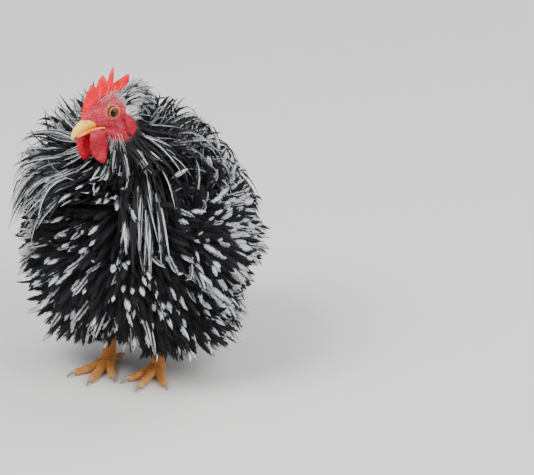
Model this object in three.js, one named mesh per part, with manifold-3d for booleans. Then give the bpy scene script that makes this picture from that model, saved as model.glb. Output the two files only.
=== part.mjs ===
// Frizzle bantam cockerel, life size, standing with its head turned to its right.
// Millimetres, +Z up. The bird faces -Y and its left side is +X. The floor is z = 0.
import * as THREE from "three";
import { mergeVertices } from "three/addons/utils/BufferGeometryUtils.js";
import Module from "manifold-3d";

const wasm = await Module();
wasm.setup();

// Driving sizes of the whole bird
const GAP = 0.35;
const SMOOTH = 0.06;
const SEED = 20417;
const FLOOR_CLEARANCE = 2;

// The trunk's core, under the curled half of its plumage
const TORSO = { x: 0, y: 8, z: 126, wide: 76, long: 86, tall: 76 };
const BREAST_BACK_Y = -4;
const BELLY_TOP_Z = 84;

const HEAD_AT = { x: 2, y: -60, z: 260 };
const HEAD_YAW = -40;
const HEAD_PITCH = 7;
const SKULL = { long: 45, wide: 27, tall: 31 };

const BEAK_LENGTH = 17;
const BEAK_WIDE = 11;
const COMB_THICK = 4.8;
// Tips and notches of the comb from front to rear: [back along the skull, up]
const COMB_TIPS = [[-15.5, 30.5], [-2.7, 36], [8, 41.5], [22.6, 29]];
const COMB_NOTCHES = [[-11.2, 25.5], [-0.2, 26], [7.5, 23]];
const COMB_FRONT = [-28.5, 2.5];
const EYE_RADIUS = 5.4;
const WATTLE = { long: 31, wide: 18, thick: 3.4, swing: -4 };
const EARLOBE = { long: 19, wide: 10, thick: 3.8 };

const STANCE = 23;
const SHANK_RADIUS = 5.6;
const HOCK_Z = 46;
const TOE_RADIUS = 3.9;
const TOE_LENGTH = 40;
const CLAW_LENGTH = 10;

const UP = new THREE.Vector3(0, 0, 1);
const DEG = Math.PI / 180;

const point = (x, y, z) => new THREE.Vector3(x, y, z);

// A closed three.js geometry as a solid, with its faces turned outwards.
function toSolid(geometry, matrix = new THREE.Matrix4()) {
  const bare = new THREE.BufferGeometry();
  bare.setAttribute("position", geometry.getAttribute("position").clone());
  if (geometry.index) bare.setIndex(geometry.index.clone());
  const merged = mergeVertices(bare.applyMatrix4(matrix), 1e-4);
  const vertProperties = new Float32Array(merged.getAttribute("position").array);
  const corners = Array.from(merged.index.array);
  const triVerts = [];
  for (let i = 0; i < corners.length; i += 3) {
    const [a, b, c] = corners.slice(i, i + 3);
    if (a !== b && b !== c && c !== a) triVerts.push(a, b, c);
  }
  const build = (faces) =>
    new wasm.Manifold(
      new wasm.Mesh({ numProp: 3, vertProperties, triVerts: new Uint32Array(faces) }),
    );
  const made = build(triVerts);
  if (made.volume() >= 0) return made;
  for (let i = 0; i < triVerts.length; i += 3)
    [triVerts[i + 1], triVerts[i + 2]] = [triVerts[i + 2], triVerts[i + 1]];
  return build(triVerts);
}

// The largest closed surface of a solid, with any sealed hollow filled.
function largestPiece(solid) {
  const pieces = solid.decompose();
  return pieces.reduce((best, s) => (s.volume() > best.volume() ? s : best));
}

function toGeometry(solid) {
  const mesh = solid.getMesh();
  const stride = mesh.numProp;
  const positions = new Float32Array(mesh.numVert * 3);
  for (let i = 0; i < mesh.numVert; i++)
    positions.set(mesh.vertProperties.subarray(i * stride, i * stride + 3), i * 3);
  const geometry = new THREE.BufferGeometry();
  geometry.setAttribute("position", new THREE.BufferAttribute(positions, 3));
  geometry.setIndex(new THREE.BufferAttribute(new Uint32Array(mesh.triVerts), 1));
  geometry.computeVertexNormals();
  return geometry;
}

// A sphere geometry stretched to three radii about a centre, turned by an optional rotation.
function ellipsoid(centre, radii, grow = 0, sides = 20, turn = new THREE.Euler()) {
  const ball = new THREE.SphereGeometry(1, sides, Math.round(sides * 0.6));
  ball.rotateX(Math.PI / 2);
  ball.scale(radii.x + grow, radii.y + grow, radii.z + grow);
  ball.applyMatrix4(new THREE.Matrix4().makeRotationFromEuler(turn));
  ball.translate(centre.x, centre.y, centre.z);
  return toSolid(ball);
}

// An elliptical tube through stations { at, wide, deep }, closed at both ends.
// "wide" lies along the side vector and "deep" across it.
function sweep(stations, sides, side = point(1, 0, 0), grow = 0) {
  const last = stations.length - 1;
  const tube = new THREE.CylinderGeometry(1, 1, 1, sides, last);
  const frames = stations.map((station, i) => {
    const before = stations[Math.max(i - 1, 0)].at;
    const after = stations[Math.min(i + 1, last)].at;
    const along = after.clone().sub(before).normalize();
    const across = side.clone().addScaledVector(along, -side.dot(along)).normalize();
    const rise = along.clone().cross(across);
    const shift = i === 0 ? -grow : i === last ? grow : 0;
    return { at: station.at.clone().addScaledVector(along, shift), across, rise };
  });
  const place = tube.getAttribute("position");
  for (let i = 0; i < place.count; i++) {
    const ring = Math.round((0.5 - place.getY(i)) * last);
    const { at, across, rise } = frames[ring];
    const { wide, deep } = stations[ring];
    const moved = at
      .clone()
      .addScaledVector(across, place.getX(i) * (wide + grow))
      .addScaledVector(rise, place.getZ(i) * (deep + grow));
    place.setXYZ(i, moved.x, moved.y, moved.z);
  }
  return toSolid(tube);
}

// Head

const headTurn = new THREE.Euler(HEAD_PITCH * DEG, 0, HEAD_YAW * DEG, "ZXY");
const headMatrix = new THREE.Matrix4()
  .makeRotationFromEuler(headTurn)
  .setPosition(HEAD_AT.x, HEAD_AT.y, HEAD_AT.z);
const headToBody = (solid) => solid.transform(headMatrix.elements);

const EYE_AT = { x: SKULL.wide / 2 - 3.6, y: -3, z: 3.5 };
const FACE_FRONT_Y = -SKULL.long / 2;

// The plane where the bare face ends and the feathered crown and nape begin, in head coordinates.
const FACE_EDGE = { normal: [0, 0.916, 0.403], offset: 7.9 };
const THROAT_Z = -15;

function skullStations() {
  const halfWide = SKULL.wide / 2;
  const halfTall = SKULL.tall / 2;
  return [
    { at: point(0, FACE_FRONT_Y, -3.2), wide: 5.2, deep: 6.4 },
    { at: point(0, FACE_FRONT_Y + 5, -2.2), wide: 7.8, deep: 9.6 },
    { at: point(0, -9, -0.8), wide: 0.8 * halfWide, deep: 0.82 * halfTall },
    { at: point(0, -2, 0.2), wide: 0.95 * halfWide, deep: 0.96 * halfTall },
    { at: point(0, 6, 0.2), wide: halfWide, deep: halfTall },
    { at: point(0, 13, -0.8), wide: 0.93 * halfWide, deep: 0.93 * halfTall },
    { at: point(0, 18.5, -2.6), wide: 0.7 * halfWide, deep: 0.7 * halfTall },
    { at: point(0, 21.5, -4), wide: 0.3 * halfWide, deep: 0.3 * halfTall },
  ];
}

// The throat and nape, which run down from the skull into the neck.
function napeStations() {
  return [
    { at: point(0, 3, 2), wide: 10, deep: 11 },
    { at: point(0, 6, -8), wide: 12.5, deep: 14 },
    { at: point(0, 9, -20), wide: 14.5, deep: 16.5 },
    { at: point(0, 12, -27), wide: 15, deep: 17.5 },
  ];
}

// The ring of bare lid round one eye.
function eyelids(side) {
  const ring = new THREE.TorusGeometry(EYE_RADIUS + 0.1, 1.15, 5, 12);
  ring.scale(1.12, 0.94, 0.8);
  ring.rotateY((Math.PI / 2) * side);
  ring.translate(side * (EYE_AT.x + 2.5), EYE_AT.y, EYE_AT.z);
  return toSolid(ring);
}

const eyeSolid = (side, grow = 0) =>
  ellipsoid(
    point(side * EYE_AT.x, EYE_AT.y, EYE_AT.z),
    point(EYE_RADIUS, EYE_RADIUS, EYE_RADIUS),
    grow,
    12,
  );

// Upper bill: a ridged, hooked cone. Its tip turns down past the lower bill.
function upperBill(grow = 0) {
  const front = FACE_FRONT_Y;
  const half = BEAK_WIDE / 2;
  const stations = [
    { at: point(0, front + 7.5, -4), wide: 1.12 * half, deep: 5 },
    { at: point(0, front + 1.5, -3.8), wide: 1.08 * half, deep: 5.4 },
    { at: point(0, front - 0.27 * BEAK_LENGTH, -4.5), wide: 0.9 * half, deep: 5.2 },
    { at: point(0, front - 0.56 * BEAK_LENGTH, -6.4), wide: 0.7 * half, deep: 4.5 },
    { at: point(0, front - 0.8 * BEAK_LENGTH, -9), wide: 0.48 * half, deep: 3.5 },
    { at: point(0, front - 0.96 * BEAK_LENGTH, -12), wide: 0.28 * half, deep: 2.4 },
    { at: point(0, front - 1.04 * BEAK_LENGTH, -15), wide: 0.12 * half, deep: 0.9 },
  ];
  return sweep(stations, 10, point(1, 0, 0), grow);
}

// Lower bill, a flatter trough under the upper one.
function lowerBill(grow = 0) {
  const front = FACE_FRONT_Y;
  const half = BEAK_WIDE / 2;
  const stations = [
    { at: point(0, front + 7.5, -10), wide: 0.96 * half, deep: 2.6 },
    { at: point(0, front + 1.5, -10.6), wide: 0.86 * half, deep: 2.6 },
    { at: point(0, front - 0.32 * BEAK_LENGTH, -11.4), wide: 0.66 * half, deep: 2.4 },
    { at: point(0, front - 0.6 * BEAK_LENGTH, -12.7), wide: 0.42 * half, deep: 1.8 },
    { at: point(0, front - 0.76 * BEAK_LENGTH, -13.9), wide: 0.18 * half, deep: 0.9 },
  ];
  return sweep(stations, 10, point(1, 0, 0), grow);
}

const nostril = (side) =>
  ellipsoid(
    point(side * 4.9, FACE_FRONT_Y - 2.6, -1.6),
    point(1.4, 2.1, 0.9),
    0,
    8,
    new THREE.Euler(0.35, 0, 0),
  );

// Outline of the single comb: pointed tips with deep notches between them, and a rear blade.
function combOutline() {
  const outline = new THREE.Shape();
  const [frontY, frontZ] = COMB_FRONT;
  outline.moveTo(frontY, frontZ);
  outline.quadraticCurveTo(frontY + 0.5, frontZ + 13, COMB_TIPS[0][0] - 1.2, COMB_TIPS[0][1] - 2);
  COMB_TIPS.forEach(([tipY, tipZ], i) => {
    outline.lineTo(tipY, tipZ);
    outline.lineTo(tipY + 1.4, tipZ - 2.6);
    if (i < COMB_NOTCHES.length) {
      const [notchY, notchZ] = COMB_NOTCHES[i];
      const [nextY, nextZ] = COMB_TIPS[i + 1];
      outline.lineTo(notchY, notchZ);
      outline.quadraticCurveTo(notchY + 2, notchZ + 4, nextY - 1.6, nextZ - 2);
    }
  });
  outline.quadraticCurveTo(22, 20, 16, 13);
  outline.lineTo(5, 9);
  outline.lineTo(-10, 5);
  outline.closePath();
  return outline;
}

// The comb's blade stands on the middle of the skull and thins towards its points.
function comb(grow = 0) {
  const options = { depth: 1, bevelEnabled: false, curveSegments: 4 };
  const blade = new THREE.ExtrudeGeometry(combOutline(), options);
  const place = blade.getAttribute("position");
  for (let i = 0; i < place.count; i++) {
    const [along, rise, face] = [place.getX(i), place.getY(i), place.getZ(i)];
    const thin = THREE.MathUtils.clamp((rise - 8) / 32, 0, 1);
    const half = COMB_THICK * (0.5 - 0.34 * thin) + grow;
    const sway = 0.9 * Math.sin(along * 0.28) * thin;
    place.setXYZ(i, (face > 0.5 ? half : -half) + sway, along, rise);
  }
  return toSolid(blade);
}

// One wattle: a thin rounded flap that hangs from the corner of the lower bill, with a soft fold.
function wattle(side, grow = 0) {
  const stations = [];
  const steps = 6;
  for (let i = 0; i <= steps; i++) {
    const s = i / steps;
    const swell = Math.sin(Math.PI * (0.12 + 0.86 * s)) ** 0.7;
    const fold = 1.1 * Math.sin(s * 7) * side;
    stations.push({
      at: point(
        side * (5.6 + 3.2 * s) + fold,
        FACE_FRONT_Y + 3 + 2 * s + (side < 0 ? WATTLE.swing * s : 0),
        -10 - WATTLE.long * s,
      ),
      wide: 0.5 * WATTLE.thick * (0.75 + 0.5 * s) * Math.min(1, 6 * (1.04 - s)),
      deep: 0.5 * WATTLE.wide * swell,
    });
  }
  return sweep(stations, 10, point(1, 0, 0), grow);
}

// One earlobe: a flat oval drop behind and below the eye.
function earlobe(side, grow = 0) {
  const stations = [];
  const steps = 5;
  for (let i = 0; i <= steps; i++) {
    const s = i / steps;
    const swell = Math.sin(Math.PI * (0.14 + 0.8 * s)) ** 0.8;
    stations.push({
      at: point(side * (SKULL.wide / 2 - 0.2 + 2 * s), 10 + s, -3 - EARLOBE.long * s),
      wide: 0.5 * EARLOBE.thick * swell,
      deep: 0.5 * EARLOBE.wide * swell,
    });
  }
  return sweep(stations, 8, point(1, 0, 0), grow);
}

// The skull and nape in one, and the bare face that is cut from them.
const wholeHead = (grow, sides = 14) =>
  sweep(skullStations(), sides, point(1, 0, 0), grow).add(
    sweep(napeStations(), sides, point(1, 0, 0), grow),
  );
const face = (grow) =>
  wholeHead(grow)
    .trimByPlane(FACE_EDGE.normal.map((c) => -c), -FACE_EDGE.offset - grow)
    .trimByPlane([0, 0, 1], THROAT_Z - grow);

function headSolid() {
  let head = face(0);
  for (const side of [1, -1]) head = head.add(eyelids(side));
  for (const side of [1, -1])
    head = head.subtract(eyeSolid(side, GAP)).subtract(earlobe(side, GAP)).subtract(wattle(side, GAP));
  return largestPiece(head.subtract(comb(GAP)).subtract(upperBill(GAP)).subtract(lowerBill(GAP)));
}

// The face with all that it carries, grown by the gap, which the plumage is cut clear of.
function headKeepClear() {
  let shape = face(GAP).add(comb(GAP)).add(upperBill(GAP)).add(lowerBill(GAP));
  for (const side of [1, -1])
    shape = shape.add(wattle(side, GAP)).add(earlobe(side, GAP)).add(eyeSolid(side, GAP));
  return headToBody(shape);
}

// Body

// The trunk's core, one egg shape that the trunk's three nodes are cut from.
const trunk = (grow) =>
  ellipsoid(
    point(TORSO.x, TORSO.y, TORSO.z),
    point(TORSO.wide, TORSO.long, TORSO.tall),
    grow,
    20,
  );

const breastPart = (grow) =>
  trunk(grow)
    .trimByPlane([0, -1, 0], -BREAST_BACK_Y - grow)
    .trimByPlane([0, 0, 1], BELLY_TOP_Z - grow);
const backPart = (grow) =>
  trunk(grow)
    .trimByPlane([0, 1, 0], BREAST_BACK_Y + GAP - grow)
    .trimByPlane([0, 0, 1], BELLY_TOP_Z - grow);
const bellyPart = (grow) => trunk(grow).trimByPlane([0, 0, -1], GAP - BELLY_TOP_Z - grow);

// The neck's core: rings that lean forward from the shoulders, and the feathered rear of the skull.
const NECK_RINGS = [
  { at: point(0, -22, 160), wide: 52, deep: 48 },
  { at: point(0, -28, 190), wide: 42, deep: 40 },
  { at: point(0, -37, 216), wide: 30, deep: 30 },
  { at: point(0, -46, 238), wide: 21, deep: 21 },
];
const neckPart = (grow) =>
  sweep(NECK_RINGS, 14, point(1, 0, 0), grow).add(headToBody(wholeHead(grow, 8)));

const WING = { at: [70, 14, 136], wide: 17, long: 54, tall: 38 };
const wingPart = (side, grow) =>
  ellipsoid(
    point(side * WING.at[0], WING.at[1], WING.at[2]),
    point(WING.wide, WING.long, WING.tall),
    grow,
    14,
  );

// The lowest share of the trunk, which carries no feathers
const UNDER_Z = -0.86;

const TAIL = { at: [0, 80, 150], wide: 34, long: 30, tall: 32 };
const tailPart = (grow) =>
  ellipsoid(point(...TAIL.at), point(TAIL.wide, TAIL.long, TAIL.tall), grow, 14);

const thighRings = (side) => [
  { at: point(side * 35, 4, 76), wide: 27, deep: 36 },
  { at: point(side * 34, 3, 60), wide: 27, deep: 35 },
  { at: point(side * 31, 2, 48), wide: 21, deep: 27 },
  { at: point(side * 27, 2, 38), wide: 12, deep: 15 },
];
const thighPart = (side, grow) =>
  sweep(thighRings(side), 14, point(1, 0, 0), grow).trimByPlane([side, 0, 0], GAP - grow);

// Legs and feet

function shank(side, grow = 0) {
  return sweep(
    [
      { at: point(side * STANCE, 6, HOCK_Z), wide: SHANK_RADIUS + 1.4, deep: SHANK_RADIUS + 2 },
      { at: point(side * STANCE, 4, HOCK_Z - 12), wide: SHANK_RADIUS, deep: SHANK_RADIUS + 0.4 },
      { at: point(side * STANCE, 0, HOCK_Z - 26), wide: SHANK_RADIUS, deep: SHANK_RADIUS + 0.4 },
      { at: point(side * STANCE, -3, 9), wide: SHANK_RADIUS + 1, deep: SHANK_RADIUS + 1.2 },
    ],
    12,
    point(1, 0, 0),
    grow,
  );
}

const TOES = [
  { name: "inner", turn: 28, reach: 0.82 },
  { name: "middle", turn: 0, reach: 1.08 },
  { name: "outer", turn: -32, reach: 0.9 },
  { name: "hind", turn: 172, reach: 0.55 },
];

// Where a toe starts, which way it runs and how far, for one foot.
function toeLine(side, toe) {
  const base = point(side * STANCE, -5, 0);
  const angle = toe.turn * side * DEG;
  const ahead = point(-Math.sin(angle), -Math.cos(angle), 0);
  return { base, ahead, reach: TOE_LENGTH * toe.reach };
}

function toeSolid(side, toe, grow = 0) {
  const { base, ahead, reach } = toeLine(side, toe);
  const across = point(-ahead.y, ahead.x, 0);
  const stations = [];
  const steps = 4;
  for (let i = 0; i <= steps; i++) {
    const s = i / steps;
    const knuckle = 0.35 * Math.cos(s * steps * 2.1);
    const radius = TOE_RADIUS * (1.12 - 0.34 * s) + knuckle * 0.5;
    const shown = i === steps ? radius * 0.72 : radius;
    const rise = THREE.MathUtils.lerp(7.5, 3.0, Math.min(1, s * 1.7));
    stations.push({
      at: base.clone().addScaledVector(ahead, reach * s).setZ(rise),
      wide: shown,
      deep: shown,
    });
  }
  return sweep(stations, 7, across, grow);
}

function clawSolid(side, toe, grow = 0) {
  const { base, ahead, reach } = toeLine(side, toe);
  const across = point(-ahead.y, ahead.x, 0);
  const stations = [];
  const steps = 3;
  for (let i = 0; i <= steps; i++) {
    const s = i / steps;
    stations.push({
      at: base
        .clone()
        .addScaledVector(ahead, reach - 1.6 + (CLAW_LENGTH + 1.6) * s)
        .setZ(3.6 - 2.3 * s * s),
      wide: 1.7 * (1 - 0.8 * s),
      deep: 2.0 * (1 - 0.8 * s),
    });
  }
  return sweep(stations, 6, across, grow);
}

function footSolid(side) {
  const ankle = ellipsoid(point(side * STANCE, -4.5, 7.5), point(8, 9, 7), 0, 10);
  let foot = ankle;
  for (const toe of TOES) foot = foot.add(toeSolid(side, toe));
  for (const toe of TOES) foot = foot.subtract(clawSolid(side, toe, GAP));
  return largestPiece(foot.subtract(shank(side, GAP)).trimByPlane([0, 0, 1], 0));
}

// Assembly

const finishes = {
  skin: { color: 0xc63a34, roughness: 0.6 },
  horn: { color: 0xd8b25a, roughness: 0.45 },
  plume: { color: 0x17161a, roughness: 0.7 },
  scale: { color: 0xc8873c, roughness: 0.6 },
  claw: { color: 0xcdb89a, roughness: 0.5 },
  eye: { color: 0x8a3b12, roughness: 0.12 },
};

function named(name, solid, finish) {
  const material = new THREE.MeshStandardMaterial({ ...finishes[finish], metalness: 0 });
  const mesh = new THREE.Mesh(toGeometry(largestPiece(solid).simplify(SMOOTH)), material);
  mesh.name = name;
  return mesh;
}

const bird = new THREE.Group();
const head = new THREE.Group();
head.rotation.copy(headTurn);
head.position.set(HEAD_AT.x, HEAD_AT.y, HEAD_AT.z);
bird.add(head);

head.add(named("head", headSolid(), "skin"));
head.add(named("comb", comb().subtract(upperBill(GAP)), "skin"));
const billWithNostrils = upperBill().subtract(nostril(1)).subtract(nostril(-1));
head.add(named("beak_upper", billWithNostrils, "horn"));
head.add(named("beak_lower", lowerBill().subtract(upperBill(GAP)), "horn"));
for (const [word, side] of [["left", 1], ["right", -1]]) {
  head.add(named("eye_" + word, eyeSolid(side), "eye"));
  const flap = wattle(side).subtract(lowerBill(GAP)).subtract(upperBill(GAP));
  head.add(named("wattle_" + word, flap, "skin"));
  head.add(named("earlobe_" + word, earlobe(side), "skin"));
}

// Plumage

function randomSource(seed) {
  let state = seed;
  return () => {
    state = (state + 0x6d2b79f5) | 0;
    let t = Math.imul(state ^ (state >>> 15), 1 | state);
    t = (t + Math.imul(t ^ (t >>> 7), 61 | t)) ^ t;
    return ((t ^ (t >>> 14)) >>> 0) / 4294967296;
  };
}
const random = randomSource(SEED);
const vary = (amount) => 1 + amount * (2 * random() - 1);

// Kinds of feather. Lift and curl are degrees away from the body, at the root and over the whole length.
const FEATHERS = {
  crown: { length: 24, wide: 7, thick: 0.7, lift: 22, curl: 50, droop: 0, steps: 3 },
  mane: { length: 50, wide: 9, thick: 0.7, lift: 38, curl: 44, droop: 0.1, steps: 3 },
  hackle: { length: 68, wide: 10, thick: 0.7, lift: 50, curl: 20, droop: 0.5, steps: 4 },
  breast: { length: 47, wide: 19, thick: 0.7, lift: 24, curl: 32, droop: 0, steps: 3 },
  saddle: { length: 48, wide: 19, thick: 0.7, lift: 26, curl: 74, droop: 0, steps: 3 },
  fluff: { length: 42, wide: 20, thick: 0.7, lift: 22, curl: 20, droop: 0, steps: 3 },
  covert: { length: 42, wide: 19, thick: 0.7, lift: 24, curl: 44, droop: 0, steps: 3 },
  flight: { length: 54, wide: 16, thick: 0.8, lift: 16, curl: 40, droop: 0, steps: 3 },
  tail: { length: 52, wide: 17, thick: 0.8, lift: 30, curl: 76, droop: 0, steps: 3 },
};
const ROOT_DEPTH = 5;
// How wide a vane is along its length, as shares of its full width
const VANE_OUTLINE = new THREE.SplineCurve([
  new THREE.Vector2(0, 0.42),
  new THREE.Vector2(0.25, 0.74),
  new THREE.Vector2(0.6, 1),
  new THREE.Vector2(0.85, 0.8),
  new THREE.Vector2(1, 0.2),
]);

// The line of a feather: it leaves its root along the lie, turns away from the body and may droop.
function quillLine({ root, lie, out, length, lift, curl, droop, steps }) {
  const fine = 24;
  const across = lie.clone().cross(out).normalize();
  const at = root.clone();
  const line = [];
  for (let i = 0; i <= fine; i++) {
    const s = i / fine;
    const angle = (lift + curl * s ** 1.3) * DEG;
    const ahead = lie
      .clone()
      .multiplyScalar(Math.cos(angle))
      .addScaledVector(out, Math.sin(angle));
    ahead.addScaledVector(UP, -droop * s * s * 2).normalize();
    if (i % (fine / steps) === 0) {
      const side = across.clone().addScaledVector(ahead, -across.dot(ahead)).normalize();
      line.push({ s, at: at.clone(), ahead: ahead.clone(), side, face: side.clone().cross(ahead) });
    }
    at.addScaledVector(ahead, length / fine);
  }
  return line;
}

// A vane is a thin closed strip along its quill line, with its triangles alike on both faces.
function vane(feather, grow = 0) {
  const line = quillLine(feather);
  const positions = [];
  const faces = [];
  line.forEach(({ s, at, ahead, side, face }, ring) => {
    const halfWide = 0.5 * feather.wide * VANE_OUTLINE.getPoint(s).y + grow;
    const halfThick = 0.5 * feather.thick * (1 - 0.35 * s) + grow;
    const shift = ring === 0 ? -grow : ring === line.length - 1 ? grow : 0;
    for (const [across, up] of [[-1, 1], [1, 1], [1, -1], [-1, -1]]) {
      const corner = at
        .clone()
        .addScaledVector(ahead, shift)
        .addScaledVector(side, across * halfWide)
        .addScaledVector(face, up * halfThick);
      positions.push(corner.x, corner.y, corner.z);
    }
    if (ring === 0) return;
    const [low, high] = [4 * (ring - 1), 4 * ring];
    for (let k = 0; k < 4; k++) {
      const next = (k + 1) % 4;
      const [a, b, c, d] = [low + k, low + next, high + next, high + k];
      if (k % 4 === 2) faces.push(a, b, d, b, c, d);
      else faces.push(a, b, c, a, c, d);
    }
  });
  const end = positions.length / 3 - 4;
  faces.push(0, 2, 1, 0, 3, 2, end, end + 1, end + 2, end, end + 2, end + 3);
  const strip = new THREE.BufferGeometry();
  strip.setAttribute("position", new THREE.Float32BufferAttribute(positions, 3));
  strip.setIndex(faces);
  return toSolid(strip);
}

// Nodes that carry feathers: a core, the space that others keep clear of, and the vanes set so far.
const coats = new Map();
const keepClearSolids = [];

function boxesMeet(a, b) {
  return [0, 1, 2].every((k) => a.min[k] < b.max[k] && b.min[k] < a.max[k]);
}

const withBox = (solid) => ({ solid, box: solid.boundingBox() });

function addCoat(name, core, keepClear) {
  coats.set(name, { core: withBox(core), keepClear: withBox(keepClear), vanes: [] });
}

function clashVolume(one, others) {
  let sum = 0;
  for (const other of others)
    if (boxesMeet(one.box, other.box)) sum += one.solid.intersect(other.solid).volume();
  return sum;
}

function foreignSolids(name) {
  const list = [...keepClearSolids];
  for (const [other, coat] of coats)
    if (other !== name) list.push(coat.keepClear, ...coat.vanes.map((v) => v.clear));
  return list;
}

const BENDS = [
  { sway: 0, lift: 0, curl: 1 },
  { sway: 9, lift: 6, curl: 1.15 },
  { sway: -9, lift: 6, curl: 1.15 },
  { sway: 0, lift: 12, curl: 0.8 },
  { sway: 0, lift: -8, curl: 1.3 },
  { sway: 17, lift: 12, curl: 0.9 },
  { sway: -17, lift: 12, curl: 0.9 },
  { sway: 0, lift: 22, curl: 0.7 },
];

// Sets one feather on a node. Of a few bends it takes the one that crosses least, cut clear of other nodes.
function plant(name, kind, { surface, out, lie, scale = 1, lift = 0, droop = 1 }) {
  const coat = coats.get(name);
  const foreign = foreignSolids(name);
  const model = FEATHERS[kind];
  const size = scale * vary(0.12);
  const turn = 10 * (2 * random() - 1);
  const tilt = 6 * (2 * random() - 1);
  const root = surface.clone().addScaledVector(out, -ROOT_DEPTH);
  let best = null;
  for (const bend of BENDS) {
    const feather = {
      ...model,
      root,
      out,
      lie: lie.clone().applyAxisAngle(out, (turn + bend.sway) * DEG),
      length: model.length * size + ROOT_DEPTH,
      lift: model.lift + lift + tilt + bend.lift,
      curl: model.curl * bend.curl,
      droop: model.droop * droop,
    };
    const thin = withBox(vane(feather));
    const clear = withBox(vane(feather, GAP));
    if (thin.box.min[2] < FLOOR_CLEARANCE) continue;
    const foreignClash = clashVolume(thin, foreign);
    const ownClash = clashVolume(thin, coat.vanes.map((v) => v.thin));
    const score = 30 * foreignClash + ownClash;
    if (!best || score < best.score) best = { score, foreignClash, thin, clear };
    if (score < 0.5) break;
  }
  if (!best) return;
  if (best.foreignClash > 0) {
    const blocking = foreign.filter((f) => boxesMeet(best.thin.box, f.box)).map((f) => f.solid);
    const cut = best.thin.solid.subtract(wasm.Manifold.union(blocking));
    const rooted = cut.decompose().filter((s) => s.intersect(coat.core.solid).volume() > 1);
    if (!rooted.length) return;
    best.thin = withBox(largestPiece(rooted[0]));
  }
  coat.vanes.push(best);
}

const fusedCoat = (name) => {
  const { core, vanes } = coats.get(name);
  return wasm.Manifold.union([core.solid, ...vanes.map((v) => v.thin.solid)]);
};

// Even spots over a ball, as directions, from a golden spiral.
function evenDirections(count) {
  const golden = Math.PI * (3 - Math.sqrt(5));
  return Array.from({ length: count }, (_, i) => {
    const z = 1 - (2 * (i + 0.5)) / count;
    const around = golden * i;
    const flat = Math.sqrt(1 - z * z);
    return point(flat * Math.cos(around), flat * Math.sin(around), z);
  });
}

// A spot on an ellipsoid core, with its outward normal and the lie that a flow gives it there.
function spotOn(centre, radii, direction, flow) {
  const surface = centre.clone().add(direction.clone().multiply(radii));
  const out = direction.clone().divide(radii).normalize();
  const lie = flow.clone().addScaledVector(out, -flow.dot(out));
  return { surface, out, lie: lie.lengthSq() > 1e-4 ? lie.normalize() : point(0, 1, 0) };
}

const keepClearOfHead = headKeepClear();
keepClearSolids.push(withBox(keepClearOfHead));
const trunkKeepClear = trunk(GAP);
const neckKeepClear = neckPart(GAP).subtract(trunk(0)).subtract(keepClearOfHead);
for (const side of [1, -1]) {
  keepClearSolids.push(withBox(shank(side, GAP)));
  for (const toe of TOES) keepClearSolids.push(withBox(toeSolid(side, toe, GAP)));
}

const SIDES = [["left", 1], ["right", -1]];
addCoat("neck", neckPart(0).subtract(trunkKeepClear).subtract(keepClearOfHead), neckKeepClear);
addCoat("breast", breastPart(0).subtract(keepClearOfHead), breastPart(GAP));
addCoat("back", backPart(0), backPart(GAP));
addCoat("belly", bellyPart(0), bellyPart(GAP));
addCoat("tail", tailPart(0).subtract(trunkKeepClear), tailPart(GAP));
for (const [word, side] of SIDES) {
  const wing = wingPart(side, 0).subtract(trunkKeepClear).subtract(neckKeepClear);
  addCoat("wing_" + word, wing, wingPart(side, GAP));
  const thigh = thighPart(side, 0).subtract(trunkKeepClear).subtract(shank(side, GAP));
  addCoat("thigh_" + word, thigh, thighPart(side, GAP));
}

// Neck feathers stand out round the neck in rings: long hackles below, a mane behind, short ones on top.
function plantHackles() {
  const rows = [
    { t: 0.92, count: 9, kind: "mane", scale: 0.85 },
    { t: 0.7, count: 11, kind: "mane", scale: 1.15 },
    { t: 0.48, count: 14, kind: "hackle", scale: 1 },
    { t: 0.26, count: 14, kind: "hackle", scale: 0.95 },
  ];
  rows.forEach(({ t, count, kind, scale }, row) => {
    const place = t * (NECK_RINGS.length - 1);
    const low = Math.min(Math.floor(place), NECK_RINGS.length - 2);
    const share = place - low;
    const [a, b] = [NECK_RINGS[low], NECK_RINGS[low + 1]];
    const centre = a.at.clone().lerp(b.at, share);
    const wide = THREE.MathUtils.lerp(a.wide, b.wide, share);
    const deep = THREE.MathUtils.lerp(a.deep, b.deep, share);
    const down = a.at.clone().sub(b.at).normalize();
    for (let i = 0; i < count; i++) {
      const angle = ((i + 0.5 * (row % 2)) / count) * 2 * Math.PI;
      const surface = centre.clone().add(point(wide * Math.cos(angle), deep * Math.sin(angle), 0));
      const radial = point(Math.cos(angle), Math.sin(angle), 0.35).normalize();
      const lie = down.clone().addScaledVector(radial, -down.dot(radial)).normalize();
      const behind = Math.max(0, Math.sin(angle));
      plant("neck", kind, { surface, out: radial, lie, scale, lift: 22 * behind, droop: 1 - behind });
    }
  });
}

const CROWN_ROWS = [
  { y: 6, z: 14.5, wide: 10 },
  { y: 13, z: 11, wide: 11 },
  { y: 18, z: 3, wide: 11 },
];

// Short feathers sweep back from the crown and down the nape.
function plantCrown() {
  for (const { y, z, wide } of CROWN_ROWS)
    for (const across of [-0.9, 0, 0.9]) {
      const slope = Math.atan2(across, 1);
      const out = point(Math.sin(slope), 0.35, Math.cos(slope)).normalize();
      const lie = point(0.25 * across, 1, -0.35);
      lie.addScaledVector(out, -lie.dot(out));
      const rise = z - 0.45 * wide * across * across;
      const surface = point(0.8 * wide * across, y, rise).applyMatrix4(headMatrix);
      plant("neck", "crown", {
        surface,
        out: out.transformDirection(headMatrix),
        lie: lie.transformDirection(headMatrix),
      });
    }
}
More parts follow.
